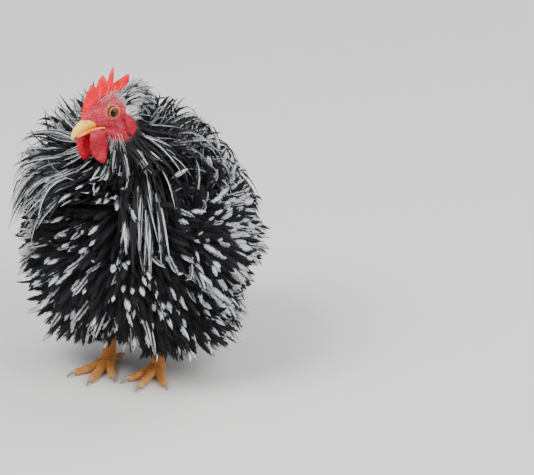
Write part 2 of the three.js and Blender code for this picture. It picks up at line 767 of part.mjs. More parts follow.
// Trunk feathers lie down and back from the breast's midline, and curl most on the back.
function plantTrunk() {
  const centre = point(TORSO.x, TORSO.y, TORSO.z);
  const radii = point(TORSO.wide, TORSO.long, TORSO.tall);
  for (const direction of evenDirections(112)) {
    if (direction.z < UNDER_Z) continue;
    const flow = point(0.6 * direction.x, 0.45, -0.8 + 0.9 * Math.max(0, direction.z));
    const spot = spotOn(centre, radii, direction, flow);
    const hidden = [...coats]
      .filter(([name]) => !["breast", "back", "belly"].includes(name))
      .some(([, coat]) => spotInside(spot.surface.clone().addScaledVector(spot.out, 2), coat));
    if (hidden) continue;
    const { y, z } = spot.surface;
    const name = z < BELLY_TOP_Z ? "belly" : y < BREAST_BACK_Y ? "breast" : "back";
    const kind = { belly: "fluff", breast: "breast", back: "saddle" }[name];
    plant(name, kind, spot);
  }
}

function spotInside(at, { keepClear }) {
  const probe = new THREE.BoxGeometry(1, 1, 1).translate(at.x, at.y, at.z);
  return keepClear.solid.intersect(toSolid(probe)).volume() > 0.2;
}

// Wing: small coverts over the shoulder, then flights in two tiers that turn outwards.
function plantWing(word, side) {
  const centre = point(side * WING.at[0], WING.at[1], WING.at[2]);
  const radii = point(WING.wide, WING.long, WING.tall);
  const tiers = [
    { kind: "covert", back: -0.8, rows: [0.35, -0.1] },
    { kind: "covert", back: -0.45, rows: [0.7, 0.2, -0.3] },
    { kind: "covert", back: 0, rows: [0.75, 0.4, 0, -0.45] },
    { kind: "flight", back: 0.45, rows: [0.65, 0.3, -0.05, -0.4] },
    { kind: "flight", back: 0.8, rows: [0.4, 0.1, -0.2] },
  ];
  for (const { kind, back, rows } of tiers)
    for (const rise of rows) {
      const outward = Math.sqrt(Math.max(0.02, 1 - back * back - rise * rise));
      const direction = point(side * outward, back, rise).normalize();
      const flow = point(0.5 * side, 1, -0.35 + 0.5 * rise);
      plant("wing_" + word, kind, spotOn(centre, radii, direction, flow));
    }
}

// Tail: a round cushion whose feathers fan out and curl over in every direction.
function plantTail() {
  const centre = point(...TAIL.at);
  const radii = point(TAIL.wide, TAIL.long, TAIL.tall);
  for (const direction of evenDirections(38)) {
    if (direction.y < 0.02 && direction.z < 0.45) continue;
    const flow = point(direction.x, 0.5, 0.25 + direction.z);
    plant("tail", "tail", spotOn(centre, radii, direction, flow));
  }
}

// Thigh fluff hangs round each leg, and the boots lie out over the foot.
function plantLeg(word, side) {
  const rows = [
    { ring: 1, count: 9, scale: 0.8 },
    { ring: 2, count: 7, scale: 0.55 },
  ];
  for (const { ring, count, scale } of rows) {
    const { at, wide, deep } = thighRings(side)[ring];
    for (let i = 0; i < count; i++) {
      const angle = ((i + 0.5 * ring) / count) * 2 * Math.PI;
      const radial = point(Math.cos(angle), Math.sin(angle), 0);
      if (radial.x * side < -0.45) continue;
      const surface = at.clone().add(point(wide * radial.x, deep * radial.y, 0));
      plant("thigh_" + word, "fluff", { surface, out: radial, lie: point(0, 0, -1), scale });
    }
  }
}

plantHackles();
plantCrown();
for (const [word, side] of SIDES) plantWing(word, side);
plantTail();
plantTrunk();
for (const [word, side] of SIDES) plantLeg(word, side);

for (const name of coats.keys()) bird.add(named(name, fusedCoat(name), "plume"));
for (const [word, side] of SIDES) {
  bird.add(named("shank_" + word, shank(side), "scale"));
  bird.add(named("foot_" + word, footSolid(side), "scale"));
  for (const toe of TOES) {
    const claw = clawSolid(side, toe).trimByPlane([0, 0, 1], 0.1);
    bird.add(named("claw_" + word + "_" + toe.name, claw, "claw"));
  }
}

// The origin is the middle of the bird's footprint box, on the floor.
const root = new THREE.Group();
root.add(bird);
bird.updateMatrixWorld(true);
const extent = new THREE.Box3().setFromObject(bird, true);
bird.position.set(-(extent.min.x + extent.max.x) / 2, -(extent.min.y + extent.max.y) / 2, 0);

export default root;
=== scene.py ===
"""Frizzle bantam cockerel: a life-size still model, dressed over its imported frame."""

import logging
import math
from dataclasses import dataclass, field
from enum import Enum, IntEnum

import bpy
import numpy as np
from mathutils import Matrix, Vector, noise


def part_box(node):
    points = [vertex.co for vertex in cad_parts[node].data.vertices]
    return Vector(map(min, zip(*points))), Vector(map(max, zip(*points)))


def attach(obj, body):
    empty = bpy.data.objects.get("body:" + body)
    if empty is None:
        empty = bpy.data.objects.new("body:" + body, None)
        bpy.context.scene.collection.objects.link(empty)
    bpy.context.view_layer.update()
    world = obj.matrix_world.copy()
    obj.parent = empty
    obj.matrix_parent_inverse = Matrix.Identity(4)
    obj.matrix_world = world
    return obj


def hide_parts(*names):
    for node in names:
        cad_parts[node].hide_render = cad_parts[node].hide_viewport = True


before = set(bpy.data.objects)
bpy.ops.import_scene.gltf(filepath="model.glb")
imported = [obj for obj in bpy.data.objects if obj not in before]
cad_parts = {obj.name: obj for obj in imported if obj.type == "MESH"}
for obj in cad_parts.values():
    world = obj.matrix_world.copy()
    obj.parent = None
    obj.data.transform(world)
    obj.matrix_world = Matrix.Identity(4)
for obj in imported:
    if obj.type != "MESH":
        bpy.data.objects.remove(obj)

log = logging.getLogger("cockerel")

MM = 0.001
BODY = "root"
SEED = 7341
SIDES = {"left": 1, "right": -1}
BAKE_MAP = "OFBake"
VANE_MAP = "Vane"
MARKING = "Marking"
PATCH = 0.003
MAX_FEATHERS = 820
UP = np.array([0.0, 0.0, 1.0])
ACROSS = np.array([1.0, 0.0, 0.0])
Triple = tuple[float, float, float]
Rows = list[tuple[float, ...]]


class Tone(IntEnum):
    """How the white of a feather is laid out."""

    SPANGLED = 0
    LACED = 1
    WHITE = 2
    BLACK = 3


class Coat(Enum):
    """The tracts of plumage, each of which becomes one or more pieces."""

    BRISTLE = "bristle"
    CROWN = "crown"
    RUFF = "ruff"
    NECK = "neck"
    BREAST = "breast"
    BACK = "back"
    BELLY = "belly"
    TAIL = "tail"
    WING_LEFT = "wing_left"
    WING_RIGHT = "wing_right"
    THIGH_LEFT = "thigh_left"
    THIGH_RIGHT = "thigh_right"


# Array helpers


def unit(vectors: np.ndarray) -> np.ndarray:
    """Vectors at length one, along their last axis."""
    return vectors / np.maximum(np.linalg.norm(vectors, axis=-1, keepdims=True), 1e-9)


def smooth(low: float, high: float, value: np.ndarray) -> np.ndarray:
    """A soft step from 0 at low to 1 at high."""
    t = np.clip((value - low) / (high - low), 0.0, 1.0)
    return t * t * (3.0 - 2.0 * t)


def across_of(along: np.ndarray, normal: np.ndarray) -> np.ndarray:
    """The part of each vector that lies in the plane of its normal, at length one."""
    flat = along - normal * np.sum(along * normal, axis=-1, keepdims=True)
    return unit(flat)


def blend(first: np.ndarray, second: np.ndarray, share: np.ndarray) -> np.ndarray:
    """Goes from a first value to a second one by a share."""
    return np.asarray(first) * (1 - share) + np.asarray(second) * share


def resample(table: Rows, count: int) -> np.ndarray:
    """Rows of stations drawn out to more rows along smooth curves.

    Args:
        table: the stations, one row each.
        count: how many rows to return.

    Returns:
        An array of count rows on Catmull-Rom curves through the stations.
    """
    rows = np.array(table, float)
    padded = np.vstack([2 * rows[0] - rows[1], rows, 2 * rows[-1] - rows[-2]])
    place = np.linspace(0, len(rows) - 1, count)
    cell = np.minimum(place.astype(int), len(rows) - 2)
    t = (place - cell)[:, None]
    a, b, c, d = (padded[cell + k] for k in range(4))
    return 0.5 * (
        2 * b + (c - a) * t + (2 * a - 5 * b + 4 * c - d) * t**2 + (3 * b - a - 3 * c + d) * t**3
    )


@dataclass
class Shell:
    """A closed surface in millimetres, as points and triangles."""

    points: np.ndarray
    faces: np.ndarray

    def plus(self, other: "Shell") -> "Shell":
        """Both surfaces in one list.

        Args:
            other: the surface to add.

        Returns:
            One surface of both.
        """
        return Shell(
            np.vstack([self.points, other.points]),
            np.vstack([self.faces, other.faces + len(self.points)]),
        )


def tube(rows: np.ndarray, side: np.ndarray, sides: int = 32) -> Shell:
    """A closed tube of elliptical rings.

    Args:
        rows: one ring a row, as x, y, z, half width along the side, half depth across it.
        side: the direction that the widths are measured in.
        sides: how many corners each ring has.

    Returns:
        The closed surface.
    """
    centres = rows[:, :3]
    ahead = unit(np.gradient(centres, axis=0))
    wide = across_of(np.broadcast_to(side, centres.shape), ahead)
    deep = np.cross(ahead, wide)
    angle = np.arange(sides) * 2 * math.pi / sides
    ring = (
        centres[:, None]
        + wide[:, None] * (np.cos(angle)[None, :, None] * rows[:, 3, None, None])
        + deep[:, None] * (np.sin(angle)[None, :, None] * rows[:, 4, None, None])
    )
    count = len(rows)
    points = np.vstack([ring.reshape(-1, 3), centres[:1], centres[-1:]])
    low = np.arange(count - 1)[:, None] * sides + np.arange(sides)
    near = np.arange(count - 1)[:, None] * sides + (np.arange(sides) + 1) % sides
    walls = np.stack([low, near, near + sides, low, near + sides, low + sides], -1).reshape(-1, 3)
    first, last = count * sides, count * sides + 1
    edge, step = np.arange(sides), (np.arange(sides) + 1) % sides
    base = (count - 1) * sides
    start = np.stack([np.full(sides, first), step, edge], -1)
    end = np.stack([np.full(sides, last), base + edge, base + step], -1)
    return Shell(points, np.vstack([walls, start, end]))


def lofted(table: Rows, steps: int, sides: int) -> Shell:
    """A tube through a few stations, with its widths measured across the bird."""
    return tube(resample(table, steps), ACROSS, sides)


def ball(centre: tuple[float, ...], radii: tuple[float, ...], sides: int = 32) -> Shell:
    """An ellipsoid, as a tube whose rings follow a half circle.

    Args:
        centre: its middle.
        radii: its half sizes along x, y and z.
        sides: how many rings it has.

    Returns:
        The closed surface.
    """
    turn = np.linspace(0.02, math.pi - 0.02, sides)
    rows = np.stack(
        [
            np.full(sides, centre[0]),
            np.full(sides, centre[1]),
            centre[2] + radii[2] * np.cos(turn),
            radii[0] * np.sin(turn),
            radii[1] * np.sin(turn),
        ],
        -1,
    )
    return tube(rows, ACROSS, sides)


# The bird's own axes


@dataclass(frozen=True)
class Posture:
    """The bird's own millimetre axes, and how its head is turned in them."""

    head_at: Triple = (2.0, -60.0, 260.0)
    head_yaw: float = -40.0
    head_pitch: float = 7.0
    eye_middle: Triple = (0.0, -3.0, 3.5)

    def head_turn(self) -> np.ndarray:
        """The head's rotation as a matrix.

        Returns:
            A matrix from the head's axes to the bird's.
        """
        yaw = Matrix.Rotation(math.radians(self.head_yaw), 3, "Z")
        pitch = Matrix.Rotation(math.radians(self.head_pitch), 3, "X")
        return np.array(yaw @ pitch)

    def shift(self) -> np.ndarray:
        """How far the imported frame's origin lies from the bird's own, from the eyes' boxes.

        Returns:
            The offset in millimetres.
        """
        corners = [np.array(c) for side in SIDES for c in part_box(f"eye_{side}")]
        packed = sum(corners) / len(corners) / MM
        own = self.head_turn() @ np.array(self.eye_middle) + np.array(self.head_at)
        return packed - own

    def head_to_bird(self, points: np.ndarray) -> np.ndarray:
        """Points of the head in the bird's axes."""
        return points @ self.head_turn().T + np.array(self.head_at)

    def bird_to_head(self, points: np.ndarray) -> np.ndarray:
        """Points of the bird in the head's axes."""
        return (points - np.array(self.head_at)) @ self.head_turn()

    def to_frame(self, points: np.ndarray) -> np.ndarray:
        """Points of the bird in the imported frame, in metres."""
        return (points + self.shift()) * MM


POSTURE = Posture()


def new_mesh(name: str, points: np.ndarray, faces: np.ndarray) -> bpy.types.Mesh:
    """A mesh of triangles with smooth shading.

    Args:
        name: the mesh's name.
        points: its points.
        faces: its triangles, as numbers of points.

    Returns:
        The new mesh.
    """
    mesh = bpy.data.meshes.new(name)
    mesh.vertices.add(len(points))
    mesh.vertices.foreach_set("co", points.astype(np.float32).ravel())
    mesh.loops.add(faces.size)
    mesh.loops.foreach_set("vertex_index", faces.astype(np.int32).ravel())
    mesh.polygons.add(len(faces))
    mesh.polygons.foreach_set("loop_start", np.arange(0, faces.size, 3, dtype=np.int32))
    mesh.polygons.foreach_set("use_smooth", np.ones(len(faces), bool))
    mesh.update(calc_edges=True)
    return mesh


def new_object(name: str, data: bpy.types.ID) -> bpy.types.Object:
    """An object of the scene that holds a mesh, camera or light.

    Args:
        name: the object's name.
        data: what it holds.

    Returns:
        The new object.
    """
    made = bpy.data.objects.new(name, data)
    bpy.context.scene.collection.objects.link(made)
    return made


def aimed(name: str, data: bpy.types.ID, at: Vector, way: Vector) -> bpy.types.Object:
    """A camera or light of the scene that looks a given way.

    Args:
        name: the object's name.
        data: the camera or light.
        at: its place in metres.
        way: the direction that it looks in.

    Returns:
        The new object.
    """
    made = new_object(name, data)
    made.location = at
    made.rotation_mode = "QUATERNION"
    made.rotation_quaternion = way.to_track_quat("-Z", "Y")
    return made


def points_of(mesh: bpy.types.Mesh, what: str = "co") -> np.ndarray:
    """A vector for each of a mesh's points.

    Args:
        mesh: the mesh to read.
        what: Blender's name of the vector, which is the point's place or its normal.

    Returns:
        One row for each point.
    """
    flat = np.empty(len(mesh.vertices) * 3, np.float32)
    mesh.vertices.foreach_get(what, flat)
    return flat.reshape(-1, 3).astype(float)


def triangles_of(mesh: bpy.types.Mesh) -> np.ndarray:
    """A mesh's triangles as an array.

    Args:
        mesh: the mesh to read.

    Returns:
        One row of point numbers for each triangle.
    """
    mesh.calc_loop_triangles()
    flat = np.empty(len(mesh.loop_triangles) * 3, np.int32)
    mesh.loop_triangles.foreach_get("vertices", flat)
    return flat.reshape(-1, 3)


def applied(shape: bpy.types.Object) -> bpy.types.Mesh:
    """The mesh that an object's modifiers give, with the object itself removed.

    Args:
        shape: the object.

    Returns:
        The finished mesh.
    """
    graph = bpy.context.evaluated_depsgraph_get()
    mesh = bpy.data.meshes.new_from_object(shape.evaluated_get(graph))
    bpy.data.objects.remove(shape)
    return mesh


def remeshed(shell: Shell, voxel: float) -> bpy.types.Mesh:
    """One closed skin round overlapping shapes, in millimetres.

    Args:
        shell: the shapes, in one list.
        voxel: the size of the skin's cells.

    Returns:
        The new mesh, still in millimetres.
    """
    shape = new_object("shape", new_mesh("shape", shell.points, shell.faces))
    remesh = shape.modifiers.new("skin", "REMESH")
    remesh.mode = "VOXEL"
    remesh.voxel_size = voxel
    remesh.use_smooth_shade = True
    soften = shape.modifiers.new("soften", "SMOOTH")
    soften.factor = 0.5
    soften.iterations = 3
    return applied(shape)


def fused(shells: list[Shell]) -> bpy.types.Mesh:
    """Closed shells joined into one closed mesh, in millimetres.

    Args:
        shells: closed surfaces that overlap.

    Returns:
        The joined mesh.
    """
    shapes = [new_object("shape", new_mesh("shape", s.points, s.faces)) for s in shells]
    first = shapes[0]
    for other in shapes[1:]:
        join = first.modifiers.new("join", "BOOLEAN")
        join.operation = "UNION"
        join.solver = "MANIFOLD"
        join.object = other
    mesh = applied(first)
    for other in shapes[1:]:
        bpy.data.objects.remove(other)
    mesh.polygons.foreach_set("use_smooth", np.ones(len(mesh.polygons), bool))
    return mesh


def set_points(mesh: bpy.types.Mesh, points: np.ndarray) -> None:
    """Moves a mesh's points."""
    mesh.vertices.foreach_set("co", points.astype(np.float32).ravel())
    mesh.update()


def paint(mesh: bpy.types.Mesh, name: str, colours: np.ndarray) -> None:
    """Stores a colour for each point of a mesh.

    Args:
        mesh: the mesh to paint.
        name: the colour attribute's name.
        colours: red, green and blue for each point, from 0 to 1.
    """
    layer = mesh.color_attributes.new(name, "FLOAT_COLOR", "POINT")
    full = np.ones((len(colours), 4), np.float32)
    full[:, :3] = colours
    layer.data.foreach_set("color", full.ravel())


def lay_map(mesh: bpy.types.Mesh, name: str, places: np.ndarray) -> None:
    """Adds a UV map that is given point by point.

    Args:
        mesh: the mesh to map.
        name: the map's name.
        places: the place of each point on the map.
    """
    corner = np.empty(len(mesh.loops), np.int32)
    mesh.loops.foreach_get("vertex_index", corner)
    layer = mesh.uv_layers.new(name=name)
    layer.uv.foreach_set("vector", places[corner].astype(np.float32).ravel())


def noise_at(points: np.ndarray, scale: float, seed: float = 0.0) -> np.ndarray:
    """Soft noise from -1 to 1 at each point."""
    shifted = points * scale + seed
    return np.array([noise.noise(p) for p in shifted.tolist()])


def cells_at(points: np.ndarray, scale: float) -> np.ndarray:
    """Distance to the nearest of many scattered seeds, for pebbly skin."""
    return np.array([noise.voronoi(p)[0][0] for p in (points * scale).tolist()])


# Finishes


class Nodes:
    """A small helper that adds shader nodes and wires them up."""

    def __init__(self, name: str) -> None:
        """Starts a material with one Principled shader.

        Args:
            name: the material's name.
        """
        self.material = bpy.data.materials.new(name)
        self.material.use_nodes = True
        self.tree = self.material.node_tree
        self.shader = self.tree.nodes["Principled BSDF"]

    def add(self, kind: str, **settings: object) -> bpy.types.Node:
        """Adds a node of a kind, with settings by name.

        Args:
            kind: Blender's name of the node.
            **settings: its properties.

        Returns:
            The new node.
        """
        node = self.tree.nodes.new(kind)
        for key, value in settings.items():
            setattr(node, key, value)
        return node

    def link(self, source: bpy.types.NodeSocket, target: bpy.types.NodeSocket) -> None:
        """Wires one socket to another."""
        self.tree.links.new(source, target)

    def uniform(self, **values: object) -> None:
        """Sets values that are the same all over, on the shader's own sockets."""
        for key, value in values.items():
            self.shader.inputs[key.replace("_", " ")].default_value = value

    def attribute(self, name: str) -> bpy.types.Node:
        """Reads a colour attribute of the mesh."""
        return self.add("ShaderNodeAttribute", attribute_name=name)

    def noise(self, scale: float, detail: float = 4.0) -> bpy.types.NodeSocket:
        """Cloudy variation over the object, with its scale in cells a metre.

        Args:
            scale: how many cells a metre has.
            detail: how many finer layers are added.

        Returns:
            The variation's socket.
        """
        place = self.add("ShaderNodeTexCoord")
        cloud = self.add("ShaderNodeTexNoise")
        cloud.inputs["Scale"].default_value = scale
        cloud.inputs["Detail"].default_value = detail
        self.link(place.outputs["Object"], cloud.inputs["Vector"])
        return cloud.outputs["Fac"]

    def pebbles(self, scale: float) -> bpy.types.NodeSocket:
        """Rounded pebbles over the object, with their scale in cells a metre.

        Args:
            scale: how many cells a metre has.

        Returns:
            The relief's socket.
        """
        place = self.add("ShaderNodeTexCoord")
        cells = self.add("ShaderNodeTexVoronoi", feature="SMOOTH_F1")
        cells.inputs["Scale"].default_value = scale
        self.link(place.outputs["Object"], cells.inputs["Vector"])
        return cells.outputs["Distance"]

    def mix(
        self,
        share: bpy.types.NodeSocket | float,
        first: bpy.types.NodeSocket | tuple[float, ...],
        second: bpy.types.NodeSocket | tuple[float, ...],
        method: str = "MIX",
    ) -> bpy.types.NodeSocket:
        """Mixes two colours.

        Args:
            share: how much of the second colour shows.
            first: the lower colour.
            second: the upper colour.
            method: Blender's name of the way to mix.

        Returns:
            The mixed colour's socket.
        """
        made = self.add("ShaderNodeMix", data_type="RGBA", blend_type=method)
        for socket, value in zip((0, 6, 7), (share, first, second)):
            if isinstance(value, bpy.types.NodeSocket):
                self.link(value, made.inputs[socket])
            elif isinstance(value, float):
                made.inputs[socket].default_value = value
            else:
                made.inputs[socket].default_value = (*value, 1.0)
        return made.outputs[2]

    def sum(
        self, operation: str, *values: bpy.types.NodeSocket | float
    ) -> bpy.types.NodeSocket:
        """One step of arithmetic on sockets and numbers.

        Args:
            operation: Blender's name of the step.
            *values: what it works on, in order.

        Returns:
            The result's socket.
        """
        made = self.add("ShaderNodeMath", operation=operation)
        for socket, value in zip(made.inputs, values):
            if isinstance(value, bpy.types.NodeSocket):
                self.link(value, socket)
            else:
                socket.default_value = value
        return made.outputs[0]

    def step(
        self, source: bpy.types.NodeSocket, low: float, high: float, base: float = 0.0
    ) -> bpy.types.NodeSocket:
        """A soft rise from a base to 1 as a socket goes from low to high.

        Args:
            source: the socket to read.
            low: where the rise begins.
            high: where it ends.
            base: the value below the rise.

        Returns:
            The result's socket.
        """
        made = self.add("ShaderNodeMapRange", interpolation_type="SMOOTHSTEP")
        made.inputs["From Min"].default_value = low
        made.inputs["From Max"].default_value = high
        made.inputs["To Min"].default_value = base
        self.link(source, made.inputs["Value"])
        return made.outputs["Result"]

    def bump(self, height: bpy.types.NodeSocket, strength: float, depth: float) -> None:
        """Raises fine relief, stacked on any that is there already.

        Args:
            height: the relief's socket.
            strength: how much of it shows.
            depth: its full height in metres.
        """
        made = self.add("ShaderNodeBump")
        made.inputs["Strength"].default_value = strength
        made.inputs["Distance"].default_value = depth
        self.link(height, made.inputs["Height"])
        before = self.shader.inputs["Normal"]
        if before.is_linked:
            self.link(before.links[0].from_socket, made.inputs["Normal"])
        self.link(made.outputs["Normal"], before)

    def colour(self, source: bpy.types.NodeSocket) -> None:
        """Feeds the base colour."""
        self.link(source, self.shader.inputs["Base Color"])

    def roughness(self, source: bpy.types.NodeSocket, low: float, high: float) -> None:
        """Varies the roughness between two values.

        Args:
            source: the socket that varies it.
            low: the roughness at 0.
            high: the roughness at 1.
        """
        spread = self.add("ShaderNodeMapRange")
        spread.inputs["To Min"].default_value = low
        spread.inputs["To Max"].default_value = high
        self.link(source, spread.inputs["Value"])
        self.link(spread.outputs["Result"], self.shader.inputs["Roughness"])


@dataclass(frozen=True)
class PlumeFinish:
    """Black and white vanes with the fine lines of their barbs, painted shade in the white's grooves and a
    painted sheen on the black's ridges.
    """

    black: Triple = (0.005, 0.005, 0.006)
    # painted bluish sheen on the ridges of the black barbs
    black_ridge_sheen: Triple = (0.012, 0.012, 0.015)
    grey: Triple = (0.036, 0.034, 0.035)
    white: Triple = (0.90, 0.91, 0.92)
    # painted shade in the grooves between the white barbs
    white_groove_shade: Triple = (0.80, 0.82, 0.85)
    split: Triple = (0.10, 0.10, 0.11)
    quill: Triple = (0.5, 0.5, 0.5)
    barbs: float = 24.0
    slant: float = -0.2
    clumps: float = 26.0
    clump_spread: float = 60.0
    streak_reach: float = 0.26
    middle_reach: float = 0.07
    relief: tuple[float, float] = (0.6, 0.0006)

    def build(self) -> bpy.types.Material:
        """Makes the material, whose white follows each feather's own length and width.

        Returns:
            The material.
        """
        nodes = Nodes("plumage")
        marks = nodes.add("ShaderNodeSeparateColor")
        nodes.link(nodes.attribute(MARKING).outputs["Color"], marks.inputs["Color"])
        way, grey, lace = marks.outputs["Red"], marks.outputs["Green"], marks.outputs["Blue"]
        vane = nodes.add("ShaderNodeSeparateXYZ")
        nodes.link(nodes.add("ShaderNodeUVMap", uv_map=VANE_MAP).outputs["UV"], vane.inputs["Vector"])
        wide = nodes.sum("ABSOLUTE", vane.outputs["X"])
        barb = nodes.sum("MULTIPLY_ADD", wide, self.slant, vane.outputs["Y"])
        wave = nodes.sum("SINE", nodes.sum("MULTIPLY", barb, self.barbs * 2 * math.pi))
        ridge = nodes.step(wave, -0.4, 1.0)
        spot = nodes.add("ShaderNodeCombineXYZ")
        nodes.link(nodes.sum("MULTIPLY", barb, self.clumps), spot.inputs["X"])
        nodes.link(vane.outputs["X"], spot.inputs["Y"])
        nodes.link(nodes.sum("MULTIPLY", grey, self.clump_spread), spot.inputs["Z"])
        clump = nodes.add("ShaderNodeTexNoise")
        clump.inputs["Scale"].default_value = 1.0
        clump.inputs["Detail"].default_value = 2.0
        nodes.link(spot.outputs["Vector"], clump.inputs["Vector"])
        streak = clump.outputs["Fac"]
        inner = nodes.sum("MULTIPLY", nodes.sum("SUBTRACT", 1.0, wide), self.middle_reach)
        reach = nodes.sum("ADD", way, nodes.sum("MULTIPLY_ADD", streak, self.streak_reach, inner))
        tip = nodes.step(reach, 0.65, 0.74)
        rim = nodes.step(wide, 0.16, 0.46)
        open_rim = nodes.sum("SUBTRACT", 1.0, nodes.sum("MULTIPLY", lace, nodes.sum("SUBTRACT", 1.0, rim)))
        share = nodes.sum("MULTIPLY", tip, open_rim)
        split = nodes.step(streak, 0.34, 0.46)
        quill = nodes.step(wide, 0.02, 0.1)
        # painted shade: the white is darker and bluer in the grooves between barbs
        pale = nodes.mix(ridge, self.white_groove_shade, self.white)
        pale = nodes.mix(split, self.split, pale)
        pale = nodes.mix(quill, self.quill, pale)
        dark = nodes.mix(grey, self.black, self.grey)
        # painted sheen: the black is lighter and bluer on the barb ridges
        dark = nodes.mix(ridge, dark, self.black_ridge_sheen)
        nodes.colour(nodes.mix(share, dark, pale))
        nodes.uniform(
            Roughness=0.5, Sheen_Weight=0.02, Sheen_Roughness=0.4, Specular_IOR_Level=0.24
        )
        nodes.bump(wave, *self.relief)
        return nodes.material


@dataclass(frozen=True)
class TintFinish:
    """A painted colour that darkens in cloudy patches, over fine relief."""

    name: str
    patches: tuple[float, float]
    depth: float
    shade: Triple
    rough: tuple[float, float]
    grain: tuple[float, float, float, float] | None = None
    pebbles: float = 0.0
    pebble_strength: float = 0.5
    pebble_depth: float = 0.0005
    values: dict[str, object] = field(default_factory=dict)

    def build(self) -> bpy.types.Material:
        """Makes the material.

        Returns:
            The material.
        """
        nodes = Nodes(self.name)
        tone = nodes.attribute(MARKING).outputs["Color"]
        cloud = nodes.noise(*self.patches)
        deep = nodes.mix(self.depth, tone, self.shade, "MULTIPLY")
        nodes.colour(nodes.mix(cloud, deep, tone))
        low, high = self.rough
        if high > low:
            nodes.roughness(cloud, low, high)
        else:
            nodes.uniform(Roughness=low)
        nodes.uniform(**self.values)
        if self.pebbles:
            nodes.bump(nodes.pebbles(self.pebbles), self.pebble_strength, self.pebble_depth)
        if self.grain:
            scale, detail, strength, depth = self.grain
            nodes.bump(nodes.noise(scale, detail), strength, depth)
        return nodes.material


SKIN = TintFinish(
    "bare_skin",
    (260.0, 5.0),
    0.55,
    (0.62, 0.30, 0.26),
    (0.38, 0.62),
    grain=(1500.0, 3.0, 0.25, 0.0003),
    pebbles=900.0,
    values={
        "Subsurface_Weight": 0.1,
        "Subsurface_Radius": (0.004, 0.0012, 0.0008),
        "Subsurface_Scale": 0.6,
        "Specular_IOR_Level": 0.22,
    },
)
HORN = TintFinish(
    "bill_horn",
    (300.0, 6.0),
    0.35,
    (0.72, 0.55, 0.35),
    (0.28, 0.5),
    grain=(700.0, 4.0, 0.2, 0.0002),
    values={
        "Subsurface_Weight": 0.08,
        "Subsurface_Scale": 0.4,
        "Coat_Weight": 0.06,
        "Specular_IOR_Level": 0.3,
    },
)
SCALES = TintFinish(
    "leg_scales",
    (180.0, 6.0),
    0.6,
    (0.5, 0.38, 0.28),
    (0.4, 0.68),
    grain=(1300.0, 4.0, 0.3, 0.0003),
    values={"Subsurface_Weight": 0.06, "Subsurface_Scale": 0.4},
)
CLAWS = TintFinish(
    "claw_horn",
    (500.0, 4.0),
    0.5,
    (0.55, 0.45, 0.35),
    (0.3, 0.5),
    grain=(500.0, 4.0, 0.2, 0.0002),
)
EYE = TintFinish(
    "eye",
    (1600.0, 5.0),
    0.5,
    (0.55, 0.35, 0.25),
    (0.12, 0.12),
    values={"Coat_Weight": 0.05, "Coat_Roughness": 0.03, "Specular_IOR_Level": 0.14},
)


@dataclass(frozen=True)
class StudioFinish:
    """The pale floor that the bird stands on."""

    colour: Triple = (0.62, 0.61, 0.59)

    def build(self) -> bpy.types.Material:
        """Makes the material.

        Returns:
            The material.
        """
        nodes = Nodes("studio_floor")
        nodes.uniform(Base_Color=(*self.colour, 1.0), Roughness=0.85)
        return nodes.material


def dress(
    made: bpy.types.Object, finish: bpy.types.Material, nodes: list[str]
) -> bpy.types.Object:
    """Gives a piece its material and body, and the CAD nodes that it stands for.

    Args:
        made: the piece.
        finish: its material.
        nodes: the CAD nodes that it replaces, if any.

    Returns:
        The same piece.
    """
    made.data.materials.clear()
    made.data.materials.append(finish)
    if nodes:
        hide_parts(*nodes)
    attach(made, BODY)
    log.info("%s: %d triangles", made.name, len(triangles_of(made.data)))
    return made


def small_piece(
    name: str,
    shell: Shell,
    colours: np.ndarray,
    finish: bpy.types.Material,
    node: str,
) -> None:
    """Makes one painted piece from a shape in the bird's own axes.

    Args:
        name: the piece's name.
        shell: its shape.
        colours: the colour of each of its points.
        finish: its material.
        node: the CAD node that it replaces.
    """
    mesh = new_mesh(name, POSTURE.to_frame(shell.points), shell.faces)
    paint(mesh, MARKING, colours)
    dress(new_object(name, mesh), finish, [node])


# Bare parts of the head

# Each fleshy shape's steps and sides, then its stations: x, y, z, half width, half depth
HEAD_FLESH: dict[str, tuple[int, int, Rows]] = {
    "throat": (
        24,
        40,
        [(0, 3, 2, 9, 10), (0, 6, -8, 11.6, 13), (0, 9, -20, 13.5, 15.4), (0, 14, -34, 14.5, 17)],
    ),
    "jaw": (
        26,
        32,
        [
            (0, -19.5, -10, 3.8, 2.8),
            (0, -12, -13, 6.8, 4.6),
            (0, -3, -16.5, 8.8, 6.5),
            (0, 6, -20.5, 9.5, 8),
            (0, 10, -27, 10, 9),
        ],
    ),
    "forehead": (
        26,
        32,
        [
            (0, -28.5, 0.6, 1.6, 1.4),
            (0, -25.5, 1.6, 3.6, 2.6),
            (0, -21, 2.4, 5.4, 4.2),
            (0, -15, 3.6, 7.4, 5.8),
            (0, -8, 5.4, 8.4, 6.5),
        ],
    ),
}


